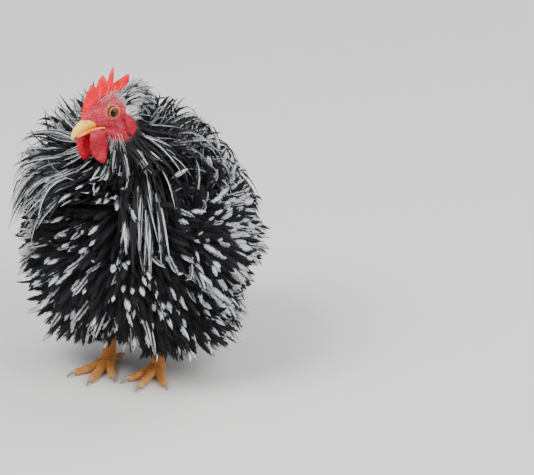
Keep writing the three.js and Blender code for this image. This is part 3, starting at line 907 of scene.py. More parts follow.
@dataclass
class Head:
    """The bare face with its lids, comb, wattles and earlobes, in the head's own axes."""

    skull_long: float = 45.0
    skull_wide: float = 27.0
    skull_tall: float = 31.0
    eye_radius: float = 5.4
    eye_side: float = 9.9
    eye_level: tuple[float, float] = (-3.0, 3.5)
    lid_long: float = 4.5
    lid_tall: float = 4.6
    lid_thick: float = 0.6
    lid_brow: float = 0.24
    ear_at: Triple = (11.6, 12.0, 1.0)
    comb_thick: float = 5.0
    voxel: float = 0.5
    face_edge: Triple = (0.916, 0.403, 10.2)
    comb_tips: tuple[tuple[float, float], ...] = ((-15.5, 30.5), (-2.7, 36), (8, 41.5), (22.6, 29))
    comb_notches: tuple[tuple[float, float], ...] = ((-10.8, 25.6), (0.2, 26.4), (5.4, 25.0))
    face_red: Triple = (0.43, 0.026, 0.052)
    face_cloud: Triple = (0.10, 0.045, 0.05)
    # painted highlight on the tops of the face's pebbles, and painted shade in the gaps between them
    pebble_highlight: Triple = (0.72, 0.15, 0.19)
    pebble_gap_shade: Triple = (0.40, 0.02, 0.025)
    comb_red: Triple = (0.82, 0.0, 0.016)
    comb_cloud: Triple = (0.12, 0.010, 0.012)
    comb_pale: Triple = (0.10, 0.02, 0.012)
    wattle_tint: Triple = (0.0, 0.004, 0.012)
    rim_brown: Triple = (0.50, 0.17, 0.07)

    def skull(self) -> Shell:
        """The skull's smooth egg, from the bill's root to the nape.

        Returns:
            The closed shape.
        """
        front = -self.skull_long / 2
        wide, tall = self.skull_wide / 2, self.skull_tall / 2
        rows = [
            (0, front + 0.5, -3.4, 4.6, 6.0),
            (0, front + 5, -2.2, 7.4, 9.4),
            (0, -9, -0.8, 0.78 * wide, 0.82 * tall),
            (0, -2, 0.2, 0.92 * wide, 0.96 * tall),
            (0, 6, 0.2, 0.97 * wide, 0.98 * tall),
            (0, 13, -0.8, 0.9 * wide, 0.9 * tall),
            (0, 18.5, -2.6, 0.66 * wide, 0.66 * tall),
            (0, 21, -4, 0.25 * wide, 0.25 * tall),
        ]
        return lofted(rows, 40, 48)

    def lids(self, side: int) -> Shell:
        """The ring of bare lid that hugs one eyeball.

        Args:
            side: 1 for the left, -1 for the right.

        Returns:
            The closed ring.
        """
        angle = np.linspace(0, 2 * math.pi, 49)[:-1]
        across = np.cos(angle) * self.lid_long
        rise = np.sin(angle) * self.lid_tall
        reach = np.sqrt(np.maximum(self.eye_radius**2 - across**2 - rise**2, 0.5)) + 0.2
        level_y, level_z = self.eye_level
        path = np.stack([side * (self.eye_side + reach), level_y + across, level_z + rise], -1)
        thick = self.lid_thick + self.lid_brow * smooth(0.0, 1.0, np.sin(angle))
        return self.ring(path, thick, 12)

    def ring(self, path: np.ndarray, thick: np.ndarray, sides: int) -> Shell:
        """A closed loop of round cord along a path.

        Args:
            path: the loop's middle line.
            thick: the cord's radius at each of its points.
            sides: how many corners the cord has.

        Returns:
            The closed ring.
        """
        ahead = unit(np.roll(path, -1, 0) - np.roll(path, 1, 0))
        wide = across_of(np.broadcast_to(ACROSS, path.shape), ahead)
        deep = np.cross(ahead, wide)
        angle = np.arange(sides) * 2 * math.pi / sides
        points = (
            path[:, None]
            + wide[:, None] * np.cos(angle)[None, :, None] * thick[:, None, None]
            + deep[:, None] * np.sin(angle)[None, :, None] * thick[:, None, None]
        ).reshape(-1, 3)
        here = np.arange(len(path))[:, None] * sides
        after = np.roll(here, -1, 0)
        low, near = here + np.arange(sides), here + (np.arange(sides) + 1) % sides
        high, far = after + np.arange(sides), after + (np.arange(sides) + 1) % sides
        faces = np.stack([low, near, far, low, far, high], -1).reshape(-1, 3)
        return Shell(points, faces)

    def comb_edge(self) -> np.ndarray:
        """The comb's upper edge from front to rear: y, z.

        Returns:
            One row for each point of the edge.
        """
        edge = [(-28.2, 1.5), (-27.6, 8.0), (-24.6, 17.5), (-19.0, 26.5)]
        for k, (tip_y, tip_z) in enumerate(self.comb_tips):
            edge.append((tip_y, tip_z))
            if k < len(self.comb_notches):
                low_y, low_z = self.comb_notches[k]
                next_y, next_z = self.comb_tips[k + 1]
                edge.append((0.55 * tip_y + 0.45 * low_y + 0.7, 0.5 * (tip_z + low_z)))
                edge.append((low_y, low_z))
                edge.append((0.55 * low_y + 0.45 * next_y - 1.2, 0.5 * (low_z + next_z)))
        edge += [(22.8, 25.0), (20.6, 19.0), (16.0, 13.5)]
        return np.array(edge, float)

    def comb(self) -> Shell:
        """The upright blade, thick at its base and thin at its points.

        Returns:
            The closed blade.
        """
        edge = self.comb_edge()
        foot_y = np.linspace(-23.0, 12.5, len(edge))
        foot = np.stack([foot_y, 5.0 + 7.5 * np.sin(np.clip((foot_y + 20) / 30, 0, 1) * 1.6)], -1)
        steps = 14
        share = np.linspace(0, 1, steps)[:, None, None]
        grid = foot[None] * (1 - share) + edge[None] * share
        swell = (1 - 0.72 * share[..., 0] ** 0.8) * np.ones(len(edge))
        near_edge = 1 - smooth(0.86, 1.0, share[..., 0]) * 0.65
        half = 0.5 * self.comb_thick * swell * near_edge
        sway = 0.9 * np.sin(grid[..., 0] * 0.24) * share[..., 0]
        left = np.stack([half + sway, grid[..., 0], grid[..., 1]], -1)
        right = np.stack([-half + sway, grid[..., 0], grid[..., 1]], -1)
        count = len(edge)
        points = np.vstack([left.reshape(-1, 3), right.reshape(-1, 3)])
        start = steps * count
        faces = []
        for row in range(steps - 1):
            for k in range(count - 1):
                a, b = row * count + k, row * count + k + 1
                c, d = a + count, b + count
                faces += [(a, b, d), (a, d, c), (start + a, start + d, start + b)]
                faces += [(start + a, start + c, start + d)]
        rim = [*range(count)]
        rim += [row * count + count - 1 for row in range(1, steps)]
        rim += [(steps - 1) * count + k for k in range(count - 2, -1, -1)]
        rim += [row * count for row in range(steps - 2, 0, -1)]
        for a, b in zip(rim, rim[1:] + rim[:1]):
            faces += [(a, start + a, start + b), (a, start + b, b)]
        return Shell(points, np.array(faces))

    def wattle(self, side: int) -> Shell:
        """One hanging flap with a soft fold down its middle.

        Args:
            side: 1 for the left, -1 for the right.

        Returns:
            The closed shape.
        """
        steps = np.linspace(0, 1, 24)
        swell = np.sin(math.pi * (0.12 + 0.86 * steps)) ** 0.7
        fold = 1.1 * np.sin(steps * 7) * side
        far = float(side < 0)
        swing = -8.0 * steps * far
        rows = np.stack(
            [
                side * (5.6 + 3.2 * steps) + fold,
                -19.5 + 2 * steps + swing,
                -10 - 31 * steps,
                1.9 * (0.75 + 0.5 * steps) * np.minimum(1, 6 * (1.04 - steps)),
                (9.3 + 1.9 * far) * swell,
            ],
            -1,
        )
        return tube(rows, ACROSS, 32)

    def earlobe(self, side: int) -> Shell:
        """One flat oval drop behind and below the eye.

        Args:
            side: 1 for the left, -1 for the right.

        Returns:
            The closed shape.
        """
        steps = np.linspace(0, 1, 16)
        swell = np.sin(math.pi * (0.14 + 0.8 * steps)) ** 0.8
        rows = np.stack(
            [
                side * (self.skull_wide / 2 - 0.2 + 2.0 * steps),
                10 + steps,
                -3 - 19 * steps,
                1.7 * swell,
                4.9 * swell,
            ],
            -1,
        )
        return tube(rows, ACROSS, 28)

    def shapes(self) -> Shell:
        """Every fleshy shape of the head in one list.

        Returns:
            The shapes, which overlap.
        """
        made = self.skull()
        for steps, sides, rows in HEAD_FLESH.values():
            made = made.plus(lofted(rows, steps, sides))
        made = made.plus(self.comb())
        for side in SIDES.values():
            made = made.plus(self.lids(side)).plus(self.wattle(side)).plus(self.earlobe(side))
        return made

    def comb_share(self, points: np.ndarray) -> np.ndarray:
        """How much each point belongs to the comb."""
        rise = points[:, 2] - np.interp(points[:, 1], (-28, -20, -8, 30), (1, 8, 14.5, 14.5))
        return smooth(0.0, 3.5, rise) * (np.abs(points[:, 0]) < 6)

    def wattle_share(self, points: np.ndarray) -> np.ndarray:
        """How much each point belongs to a wattle.

        Args:
            points: places in the head's axes.

        Returns:
            Shares from 0 to 1.
        """
        apart = smooth(2.6, 3.6, np.abs(points[:, 0])) * (np.abs(points[:, 0]) < 15)
        tall = smooth(-13.5, -16.5, points[:, 2]) * (points[:, 2] > -44)
        return tall * smooth(-8.0, -11.0, points[:, 1]) * (points[:, 1] > -37) * apart

    def lobe_share(self, points: np.ndarray) -> np.ndarray:
        """How much each point belongs to an earlobe.

        Args:
            points: places in the head's axes.

        Returns:
            Shares from 0 to 1.
        """
        tall = smooth(-25.0, -22.5, points[:, 2]) * smooth(-1.5, -4.0, points[:, 2])
        out = smooth(13.5, 14.1, np.abs(points[:, 0])) * (np.abs(points[:, 0]) < 18)
        return tall * out * smooth(7.0, 5.5, np.abs(points[:, 1] - 10.5))

    def off_spot(self, points: np.ndarray, spot: tuple[float, ...]) -> np.ndarray:
        """How far each point is from the nearer of the two sides' spots."""
        folded = np.column_stack([np.abs(points[:, 0]), points[:, 1:]])
        return np.linalg.norm(folded - np.array(spot), axis=1)

    def eye_distance(self, points: np.ndarray) -> np.ndarray:
        """How far each point is from the nearer eye's middle."""
        return self.off_spot(points, (self.eye_side, *self.eye_level))

    def ear_distance(self, points: np.ndarray) -> np.ndarray:
        """How far each point is from the white spot over the nearer ear."""
        return self.off_spot(points, self.ear_at)

    def relief(self, points: np.ndarray, normals: np.ndarray) -> np.ndarray:
        """Wrinkles, folds and pebbling, as points pushed along their normals.

        Args:
            points: places in the head's axes.
            normals: the skin's outward directions there.

        Returns:
            The moved points.
        """
        pebbles = np.minimum(cells_at(points, 0.62), 1.0)
        coarse = np.minimum(cells_at(points * np.array([1.0, 0.8, 1.3]), 0.34), 1.0)
        waves = noise_at(points, 0.22, 3.0)
        eye = self.eye_distance(points)
        comb, wattle = self.comb_share(points), self.wattle_share(points)
        face = (1 - comb) * (1 - wattle)
        rings = np.sin(eye * 2.8 + 3.0 * waves) * smooth(6.4, 7.4, eye) * smooth(15.0, 9.0, eye)
        jowl = np.sin(points[:, 1] * 0.9 + points[:, 2] * 0.5 + 4 * waves)
        push = 0.5 * (0.45 - pebbles) * (0.5 + 0.5 * face)
        push += face * (0.34 * rings + 0.36 * jowl * smooth(-2, -9, points[:, 2]))
        push += 0.5 * (0.4 - coarse)
        push += 0.45 * waves * (comb + wattle)
        return points + normals * (push * smooth(5.4, 6.4, eye))[:, None]

    def feathered(self, points: np.ndarray) -> np.ndarray:
        """How much each point lies behind the line where the face ends.

        Args:
            points: places in the head's axes.

        Returns:
            Shares from 0 to 1.
        """
        over, up, limit = self.face_edge
        return smooth(-1.5, 1.5, points[:, 1] * over + points[:, 2] * up - limit) * (
            1 - self.comb_share(points)
        )

    def colours(self, points: np.ndarray) -> np.ndarray:
        """The bare skin's colours, by place, with painted highlights on the face's pebbles, painted shade
        in the gaps between them and painted light on the far wattle.

        Args:
            points: places in the head's axes.

        Returns:
            Red, green and blue for each point.
        """
        cloud = noise_at(points, 0.16, 9.0)[:, None]
        fine = noise_at(points, 0.55, 5.0)[:, None]
        pebbles = cells_at(points, 0.62)[:, None]
        face = np.array(self.face_red) + np.array(self.face_cloud) * (cloud + 0.6 * fine)
        # painted highlight on the pebbles' raised tops and painted shade in the gaps between them,
        # following the relief
        pebble_lit_share, folds = smooth(0.42, 0.12, pebbles), smooth(0.5, 0.85, pebbles)
        face = blend(face, self.pebble_highlight, 0.4 * pebble_lit_share)
        face = blend(face, self.pebble_gap_shade, 0.6 * folds)
        comb_red = np.array(self.comb_red) + np.array(self.comb_cloud) * (cloud + fine)
        pale = smooth(24.0, 40.0, points[:, 2:3])
        comb_red = comb_red + np.array(self.comb_pale) * pale
        comb = self.comb_share(points)[:, None]
        wattle = np.maximum(self.wattle_share(points), self.lobe_share(points))[:, None]
        colours = blend(face, comb_red, comb)
        # painted light: the far wattle, on the bird's right, is painted much brighter to stand in for the
        # light falling on it
        wattle_red = (0.4 + 0.42 * (points[:, :1] < 0)) * comb_red + np.array(self.wattle_tint)
        colours = blend(colours, wattle_red, 0.8 * wattle)
        rim = smooth(7.1, 6.4, self.eye_distance(points)[:, None])
        return np.clip(blend(colours, self.rim_brown, rim), 0.002, 0.95)

    def beside(self, points: np.ndarray) -> np.ndarray:
        """How much each point lies on the neck's bulge beside the turned head."""
        return smooth(-11.0, -13.0, points[:, 0]) * smooth(-8.0, -12.0, points[:, 2])

    def clothed(self, points: np.ndarray) -> np.ndarray:
        """How much each point of the skin lies under feathers.

        Args:
            points: places in the head's axes.

        Returns:
            Shares from 0 to 1.
        """
        near = smooth(44.0, 36.0, np.linalg.norm(points - np.array([0, -4.0, 2.0]), axis=1))
        made = 1 - near * (1 - self.feathered(points))
        below = smooth(-24.0, -27.0, points[:, 2]) * smooth(-11.0, -7.0, points[:, 1])
        behind = smooth(-17.0, -20.0, points[:, 2]) * smooth(5.0, 9.0, points[:, 1])
        made = np.max([made, below, behind, self.beside(points)], axis=0)
        bare = np.maximum(self.lobe_share(points), self.wattle_share(points))
        return made * (1 - bare)


# The flesh under the coat


@dataclass
class Flesh:
    """The whole skin: a fine head joined to the plain body that the coat grows from."""

    head: Head
    voxel: float = 2.6
    trunk_at: Triple = (0.0, 8.0, 126.0)
    trunk: Triple = (70.0, 80.0, 70.0)
    wing_at: Triple = (62.0, 14.0, 136.0)
    wing: Triple = (20.0, 50.0, 34.0)
    tail_at: Triple = (0.0, 80.0, 150.0)
    tail: Triple = (28.0, 25.0, 27.0)
    down_dark: Triple = (0.02, 0.019, 0.02)
    down_grey: Triple = (0.24, 0.22, 0.23)
    ear_white: Triple = (0.80, 0.74, 0.70)

    def neck(self) -> Shell:
        """The neck, leaning forward from the shoulders.

        Returns:
            The closed shape.
        """
        rows = [
            (0, -22, 158, 48, 44),
            (0, -28, 190, 37, 36),
            (0, -37, 216, 25, 26),
            (0, -46, 238, 14.5, 16),
            (1.5, -52, 247, 8, 9),
        ]
        return lofted(rows, 24, 32)

    def thigh(self, side: int) -> Shell:
        """One thigh, down to the hock.

        Args:
            side: 1 for the left, -1 for the right.

        Returns:
            The closed shape.
        """
        rows = [
            (side * 33, 4, 90, 24, 32),
            (side * 33, 3, 64, 23, 31),
            (side * 29, 2, 50, 16, 20),
            (side * 25, 2, 39, 9, 11),
        ]
        return lofted(rows, 16, 28)

    def body_mesh(self) -> bpy.types.Mesh:
        """The body's skin, without the head.

        Returns:
            The mesh in millimetres.
        """
        shapes = ball(self.trunk_at, self.trunk).plus(ball(self.tail_at, self.tail))
        shapes = shapes.plus(self.neck())
        for side in SIDES.values():
            at = (side * self.wing_at[0], *self.wing_at[1:])
            shapes = shapes.plus(ball(at, self.wing)).plus(self.thigh(side))
        return remeshed(shapes, self.voxel)

    def head_mesh(self) -> bpy.types.Mesh:
        """The head's fine skin, placed on the bird.

        Returns:
            The mesh in millimetres.
        """
        mesh = remeshed(self.head.shapes(), self.head.voxel)
        own = points_of(mesh)
        moved = self.head.relief(own, points_of(mesh, "normal"))
        set_points(mesh, POSTURE.head_to_bird(moved))
        return mesh

    def build(self, finish: bpy.types.Material) -> tuple[bpy.types.Mesh, bpy.types.Mesh]:
        """Makes the skin.

        Args:
            finish: the skin's material.

        Returns:
            The body's and the head's meshes in millimetres, for the coat to grow from.
        """
        body = self.body_mesh()
        top = self.head_mesh()
        shells = [Shell(points_of(m), triangles_of(m)) for m in (top, body)]
        mesh = fused(shells)
        places = points_of(mesh)
        own = POSTURE.bird_to_head(places)
        bare = self.head.colours(own)
        dark = self.head.clothed(own)[:, None]
        high = smooth(-16.0, -8.0, own[:, 2:3])
        down = blend(self.down_dark, self.down_grey, high)
        ear = smooth(4.8, 3.0, self.head.ear_distance(own))[:, None]
        down = blend(down, self.ear_white, ear)
        paint(mesh, MARKING, blend(bare, down, np.maximum(dark, ear)))
        set_points(mesh, POSTURE.to_frame(places))
        skin = new_object("skin", mesh)
        nodes = ["head", "comb", "wattle_left", "wattle_right", "earlobe_left", "earlobe_right"]
        nodes += ["neck", "breast", "back", "belly", "tail", "wing_left", "wing_right"]
        dress(skin, finish, nodes + ["thigh_left", "thigh_right"])
        return body, top


# Bill and eyes


@dataclass
class Bill:
    """The hooked upper bill over a shallow lower one, with the soft lip behind them."""

    front: float = -22.5
    long: float = 17.0
    half: float = 5.5
    cream: Triple = (0.94, 0.58, 0.11)
    orange: Triple = (0.92, 0.31, 0.02)
    # painted shade inside the nostrils
    inside: Triple = (0.10, 0.04, 0.02)

    def upper_rows(self) -> Rows:
        """The upper bill's stations, from inside the face to the tip.

        Returns:
            One row for each station.
        """
        front, long, half = self.front, self.long, self.half
        return [
            (0, front + 7.5, -4.0, 1.12 * half, 5.0),
            (0, front + 1.5, -3.8, 1.08 * half, 5.4),
            (0, front - 0.27 * long, -4.5, 0.9 * half, 5.2),
            (0, front - 0.56 * long, -6.4, 0.7 * half, 4.5),
            (0, front - 0.8 * long, -9.0, 0.48 * half, 3.5),
            (0, front - 0.96 * long, -12.0, 0.28 * half, 2.4),
            (0, front - 1.04 * long, -15.0, 0.12 * half, 0.9),
        ]

    def upper(self) -> Shell:
        """The upper bill, ridged along its top, with a nostril in each side.

        Returns:
            The closed shape.
        """
        rows = resample(self.upper_rows(), 60)
        shell = tube(rows, ACROSS, 56)
        made = shell.points.copy()
        order = np.argsort(rows[:, 1])
        middle = np.interp(made[:, 1], rows[order, 1], rows[order, 2])
        deep = np.interp(made[:, 1], rows[order, 1], rows[order, 4])
        height = (made[:, 2] - middle) / np.maximum(deep, 0.5)
        made[:, 0] *= 1 - 0.42 * smooth(0.1, 1.0, height) + 0.06 * smooth(-0.5, -0.9, height)
        for side in SIDES.values():
            made[:, 0] -= side * 1.3 * self.nostril(made, side)
        return Shell(made, shell.faces)

    def nostril(self, points: np.ndarray, side: int) -> np.ndarray:
        """How deep each point lies in one nostril, from 0 to 1.

        Args:
            points: places in the head's axes.
            side: 1 for the left, -1 for the right.

        Returns:
            Depths from 0 to 1.
        """
        spot = np.array([side * 4.1, self.front - 4.2, -1.6])
        hole = (points - spot) / np.array([2.6, 2.5, 0.95])
        return smooth(1.1, 0.2, np.linalg.norm(hole, axis=1))

    def lip(self, side: int) -> Shell:
        """The fleshy rim of the mouth, which runs back from the bill to below the eye.

        Args:
            side: 1 for the left, -1 for the right.

        Returns:
            The closed shape.
        """
        rows = [
            (side * 4.7, -26.0, -9.6, 0.8, 0.7),
            (side * 5.5, -21.5, -9.2, 1.0, 0.9),
            (side * 6.3, -17.0, -9.2, 1.0, 0.9),
            (side * 7.4, -13.0, -9.6, 0.8, 0.8),
            (side * 8.0, -10.8, -10.2, 0.3, 0.3),
        ]
        return lofted(rows, 28, 20)

    def lower(self) -> Shell:
        """The lower bill.

        Returns:
            The closed shape.
        """
        front, long, half = self.front, self.long, self.half
        rows = [
            (0, front + 7.5, -10.0, 0.96 * half, 2.5),
            (0, front + 1.5, -10.6, 0.86 * half, 2.5),
            (0, front - 0.32 * long, -11.4, 0.66 * half, 2.3),
            (0, front - 0.6 * long, -12.7, 0.42 * half, 1.7),
            (0, front - 0.76 * long, -13.9, 0.18 * half, 0.8),
        ]
        return lofted(rows, 32, 36)

    def build(self, finish: bpy.types.Material) -> None:
        """Makes both halves.

        Args:
            finish: the horn's material.
        """
        upper = self.upper().plus(self.lip(1)).plus(self.lip(-1))
        for name, shell in (("upper", upper), ("lower", self.lower())):
            out = -(shell.points[:, 1:2] - self.front) / self.long
            drop = smooth(0.5, -5.5, shell.points[:, 2:3] + 6.0 * np.clip(out, 0, 1) ** 1.5)
            gape = smooth(1.05, 0.0, out) * (0.15 + 0.85 * drop)
            # painted shade: the nostril hollows are painted dark
            nostril_shade_share = self.nostril(shell.points, 1) + self.nostril(shell.points, -1)
            nostril_shade_share = 0.85 * np.clip(nostril_shade_share, 0, 1)[:, None] * (name == "upper")
            colours = blend(blend(self.cream, self.orange, gape), self.inside, nostril_shade_share)
            placed = Shell(POSTURE.head_to_bird(shell.points), shell.faces)
            small_piece(f"bill_{name}", placed, colours, finish, f"beak_{name}")


@dataclass
class Eyes:
    """Both eyeballs, with pupil and iris round the way they look."""

    head: Head
    iris: float = 5.0
    pupil: float = 2.6
    bulge: float = 0.35
    gaze: Triple = (1.0, -0.5, 0.14)
    brown: Triple = (0.15, 0.052, 0.022)
    inner_brown: Triple = (0.07, 0.027, 0.014)
    # dark limbal ring round the iris, which also serves as painted shade where the lids meet the eyeball
    rim: Triple = (0.06, 0.02, 0.012)
    black: Triple = (0.004, 0.004, 0.004)

    def build(self, finish: bpy.types.Material) -> None:
        """Makes both eyes.

        Args:
            finish: the eye's material.
        """
        for word, side in SIDES.items():
            radius = self.head.eye_radius
            centre = np.array([side * self.head.eye_side, *self.head.eye_level])
            shell = ball((0, 0, 0), (radius,) * 3, 64)
            gaze = unit(np.array([side, 1.0, 1.0]) * self.gaze)
            front = shell.points @ gaze > 0
            off = np.linalg.norm(np.cross(shell.points, gaze), axis=1)
            off = np.where(front, off, radius)
            swell = self.bulge * smooth(self.iris + 0.6, 0.0, off)
            points = shell.points + gaze * swell[:, None] * front[:, None] + centre
            pupil = smooth(self.pupil + 0.18, self.pupil - 0.18, off)[:, None]
            # the dark ring is partly the iris's own edge and partly painted shade in the gap under the
            # lids
            ring = smooth(self.iris - 0.9, self.iris + 0.2, off)[:, None]
            inner = smooth(self.pupil + 1.3, self.pupil, off)[:, None]
            colours = blend(blend(self.brown, self.inner_brown, inner), self.rim, ring)
            colours = blend(colours, self.black, pupil)
            placed = Shell(POSTURE.head_to_bird(points), shell.faces)
            small_piece(f"eyeball_{word}", placed, colours, finish, f"eye_{word}")


# Legs


@dataclass
class Leg:
    """One scaled shank and foot with its four claws."""

    word: str
    side: int
    stance: float = 23.0
    shank: float = 5.6
    hock: float = 46.0
    toe: float = 3.9
    toe_long: float = 40.0
    claw_long: float = 10.0
    foot_y: float = -5.0
    plates: int = 13
    toe_plates: int = 15
    orange: Triple = (0.58, 0.225, 0.05)
    orange_cloud: Triple = (0.10, 0.08, 0.04)
    sole: Triple = (0.62, 0.42, 0.22)
    claw_root: Triple = (0.5, 0.36, 0.2)
    claw_tip: Triple = (0.2, 0.13, 0.08)
    toes: dict[str, tuple[float, float]] = field(
        default_factory=lambda: {
            "inner": (28.0, 0.82),
            "middle": (0.0, 1.08),
            "outer": (-32.0, 0.9),
            "hind": (172.0, 0.55),
        }
    )

    def scuted(self, rows: np.ndarray, across: np.ndarray, front: np.ndarray, count: int) -> Shell:
        """A tube with overlapping plates on its front and pebbles elsewhere.

        Args:
            rows: the tube's rings.
            across: the direction of the widths.
            front: the way that the plates face.
            count: how many plates there are along the tube.

        Returns:
            The scaled tube.
        """
        sides = 40
        shell = tube(rows, across, sides)
        points = shell.points.copy()
        centre = np.vstack([np.repeat(rows[:, :3], sides, 0), rows[:1, :3], rows[-1:, :3]])
        share = np.concatenate([np.repeat(np.linspace(0, 1, len(rows)), sides), [0.0, 1.0]])
        out = unit(points - centre + 1e-6)
        facing = out @ front
        plate = (share * count) % 1.0
        ridge = (0.25 + 0.42 * plate) * smooth(0.0, 0.08, plate) * smooth(1.0, 0.93, plate)
        pebble = 0.4 - np.minimum(cells_at(points, 0.62), 1.0) * 0.55
        mask = smooth(0.05, 0.45, facing)
        push = (ridge - 0.25) * mask + pebble * 0.6 * (1 - mask)
        push[-2:] = 0
        return Shell(points + out * push[:, None], shell.faces)

    def toe_way(self, turn: float) -> tuple[np.ndarray, np.ndarray, np.ndarray]:
        """Where a toe starts, the way it points and the way across it.

        Args:
            turn: the toe's turn from straight ahead, in degrees.

        Returns:
            A place and two directions.
        """
        angle = math.radians(turn * self.side)
        ahead = np.array([-math.sin(angle), -math.cos(angle), 0.0])
        base = np.array([self.side * self.stance, self.foot_y, 0.0])
        return base, ahead, np.array([-ahead[1], ahead[0], 0.0])

    def toe_rows(self, turn: float, reach: float) -> tuple[np.ndarray, np.ndarray]:
        """The rings of a toe and its sideways direction.

        Args:
            turn: the toe's turn from straight ahead, in degrees.
            reach: its length against the standard toe.

        Returns:
            The rings and the direction.
        """
        base, ahead, across = self.toe_way(turn)
        share = np.linspace(0, 1, 110)
        thick = self.toe * (1.12 - 0.34 * share) + 0.28 * np.cos(share * 3 * 2 * math.pi)
        thick = thick * np.where(share > 0.9, np.sqrt(np.maximum(1 - ((share - 0.9) / 0.14) ** 2, 0)), 1)
        rise = 7.5 + (3.0 - 7.5) * np.minimum(1, share * 1.7)
        rise = np.maximum(rise, thick * 0.92)
        line = base + ahead * (self.toe_long * reach * share)[:, None]
        line[:, 2] = rise
        return np.column_stack([line, thick, thick]), across

    def flat(self, shell: Shell) -> Shell:
        """The same shape with its soles pressed flat on the floor.

        Args:
            shell: the shape.

        Returns:
            The flattened shape.
        """
        points = shell.points.copy()
        points[:, 2] = np.maximum(points[:, 2], 0.05)
        return Shell(points, shell.faces)

    def colours(self, points: np.ndarray) -> np.ndarray:
        """Orange scales, paler towards the soles and duller up the leg.

        Args:
            points: places in the bird's axes.

        Returns:
            Red, green and blue for each point.
        """
        cloud = noise_at(points, 0.12, 2.0)[:, None]
        low = smooth(6.0, 1.0, points[:, 2])[:, None]
        orange = np.array(self.orange) + np.array(self.orange_cloud) * cloud
        return np.clip(blend(orange, self.sole, 0.4 * low), 0, 1)

    def build(self, scales: bpy.types.Material, horn: bpy.types.Material) -> None:
        """Makes the leg's scaled piece and its claws.

        Args:
            scales: the material of the shank and toes.
            horn: the material of the claws.
        """
        x = self.side * self.stance
        shank = [
            (x, 6, self.hock + 4, self.shank + 1.2, self.shank + 1.8),
            (x, 4, self.hock - 12, self.shank, self.shank + 0.4),
            (x, 0, self.hock - 26, self.shank, self.shank + 0.4),
            (x, -4, 7, self.shank + 1, self.shank + 1.4),
        ]
        front = np.array([0.0, -1.0, 0.0])
        shells = [self.scuted(resample(shank, 150), ACROSS, front, self.plates)]
        shells.append(ball((x, -4.5, 6.8), (7.6, 8.6, 6.6), 28))
        for turn, reach in self.toes.values():
            rows, across = self.toe_rows(turn, reach)
            shells.append(self.scuted(rows, across, UP, round(self.toe_plates * reach)))
        mesh = fused([self.flat(s) for s in shells])
        places = points_of(mesh)
        paint(mesh, MARKING, self.colours(places))
        set_points(mesh, POSTURE.to_frame(places))
        made = new_object(f"leg_{self.word}", mesh)
        dress(made, scales, [f"shank_{self.word}", f"foot_{self.word}"])
        for name, (turn, reach) in self.toes.items():
            self.claw(name, turn, reach, horn)

    def claw(self, name: str, turn: float, reach: float, horn: bpy.types.Material) -> None:
        """Makes one curved claw at the end of a toe.

        Args:
            name: the toe's name.
            turn: the toe's turn from straight ahead, in degrees.
            reach: its length against the standard toe.
            horn: the claw's material.
        """
        base, ahead, across = self.toe_way(turn)
        share = np.linspace(0, 1, 24)
        line = base + ahead * (self.toe_long * reach - 2.4 + (self.claw_long + 2.2) * share)[:, None]
        line[:, 2] = 3.7 + 0.7 * np.sin(share * math.pi) - 2.9 * share**2
        thick = np.sqrt(np.maximum(1 - share**1.6, 0.0025))
        rows = np.column_stack([line, 1.7 * thick, 2.1 * thick])
        shell = self.flat(tube(rows, across, 24))
        out = np.clip((shell.points - base) @ ahead - self.toe_long * reach, 0, 10)[:, None] / 10
        colours = blend(self.claw_root, self.claw_tip, out)
        label = f"{self.word}_{name}"
        small_piece(f"nail_{label}", shell, colours, horn, f"claw_{label}")


# Feathers


@dataclass
class Vane:
    """The build of one sort of feather: how many rings and barbs it has, and its outline."""

    rings: int = 9
    barbs: int = 18
    core: float = 0.86
    thick: float = 0.5
    barb_wide: float = 0.4
    ragged: float = 0.2
    loose: float = 0.45
    camber: float = 0.2
    uneven: float = 0.05
    taper: float = 0.6
    barb_from: float = 0.14
    barb_seat: float = 0.72
    lean: Triple = (40.0, 36.0, 7.0)
    outline: tuple[tuple[float, float], ...] = (
        (0.0, 0.14),
        (0.2, 0.5),
        (0.5, 0.9),
        (0.75, 1.0),
        (0.89, 0.8),
        (1.0, 0.12),
    )

    def width_at(self, share: np.ndarray) -> np.ndarray:
        """The vane's width at a share of its length, against its greatest width."""
        places, widths = zip(*self.outline)
        return np.interp(share, places, widths)


HACKLE = Vane(
    rings=10,
    barbs=14,
    core=0.86,
    barb_wide=0.28,
    ragged=0.25,
    loose=0.2,
    camber=0.3,
    outline=((0.0, 0.3), (0.2, 0.85), (0.45, 1.0), (0.75, 0.75), (0.9, 0.4), (1.0, 0.05)),
)
CONTOUR = Vane()
FLUFF = Vane(
    rings=7,
    barbs=26,
    core=0.62,
    barb_wide=0.34,
    ragged=0.6,
    loose=0.6,
    outline=((0.0, 0.2), (0.25, 0.8), (0.6, 1.0), (0.85, 0.85), (1.0, 0.25)),
)
BRISTLE = Vane(rings=3, barbs=0, core=1.0, thick=0.25, outline=((0.0, 1.0), (1.0, 0.2)))


@dataclass
class Feathers:
    """A batch of feathers, with one row of each array for each feather."""

    root: np.ndarray
    out: np.ndarray
    lie: np.ndarray
    length: np.ndarray
    width: np.ndarray
    lift: np.ndarray
    curl: np.ndarray
    droop: np.ndarray
    sway: np.ndarray
    twist: np.ndarray
    tone: np.ndarray
    start: np.ndarray
    grey: np.ndarray
    patch: np.ndarray

    def count(self) -> int:
        """How many feathers there are."""
        return len(self.root)

    def part(self, chosen: np.ndarray) -> "Feathers":
        """Only the chosen feathers."""
        return Feathers(*(getattr(self, name)[chosen] for name in self.__dataclass_fields__))


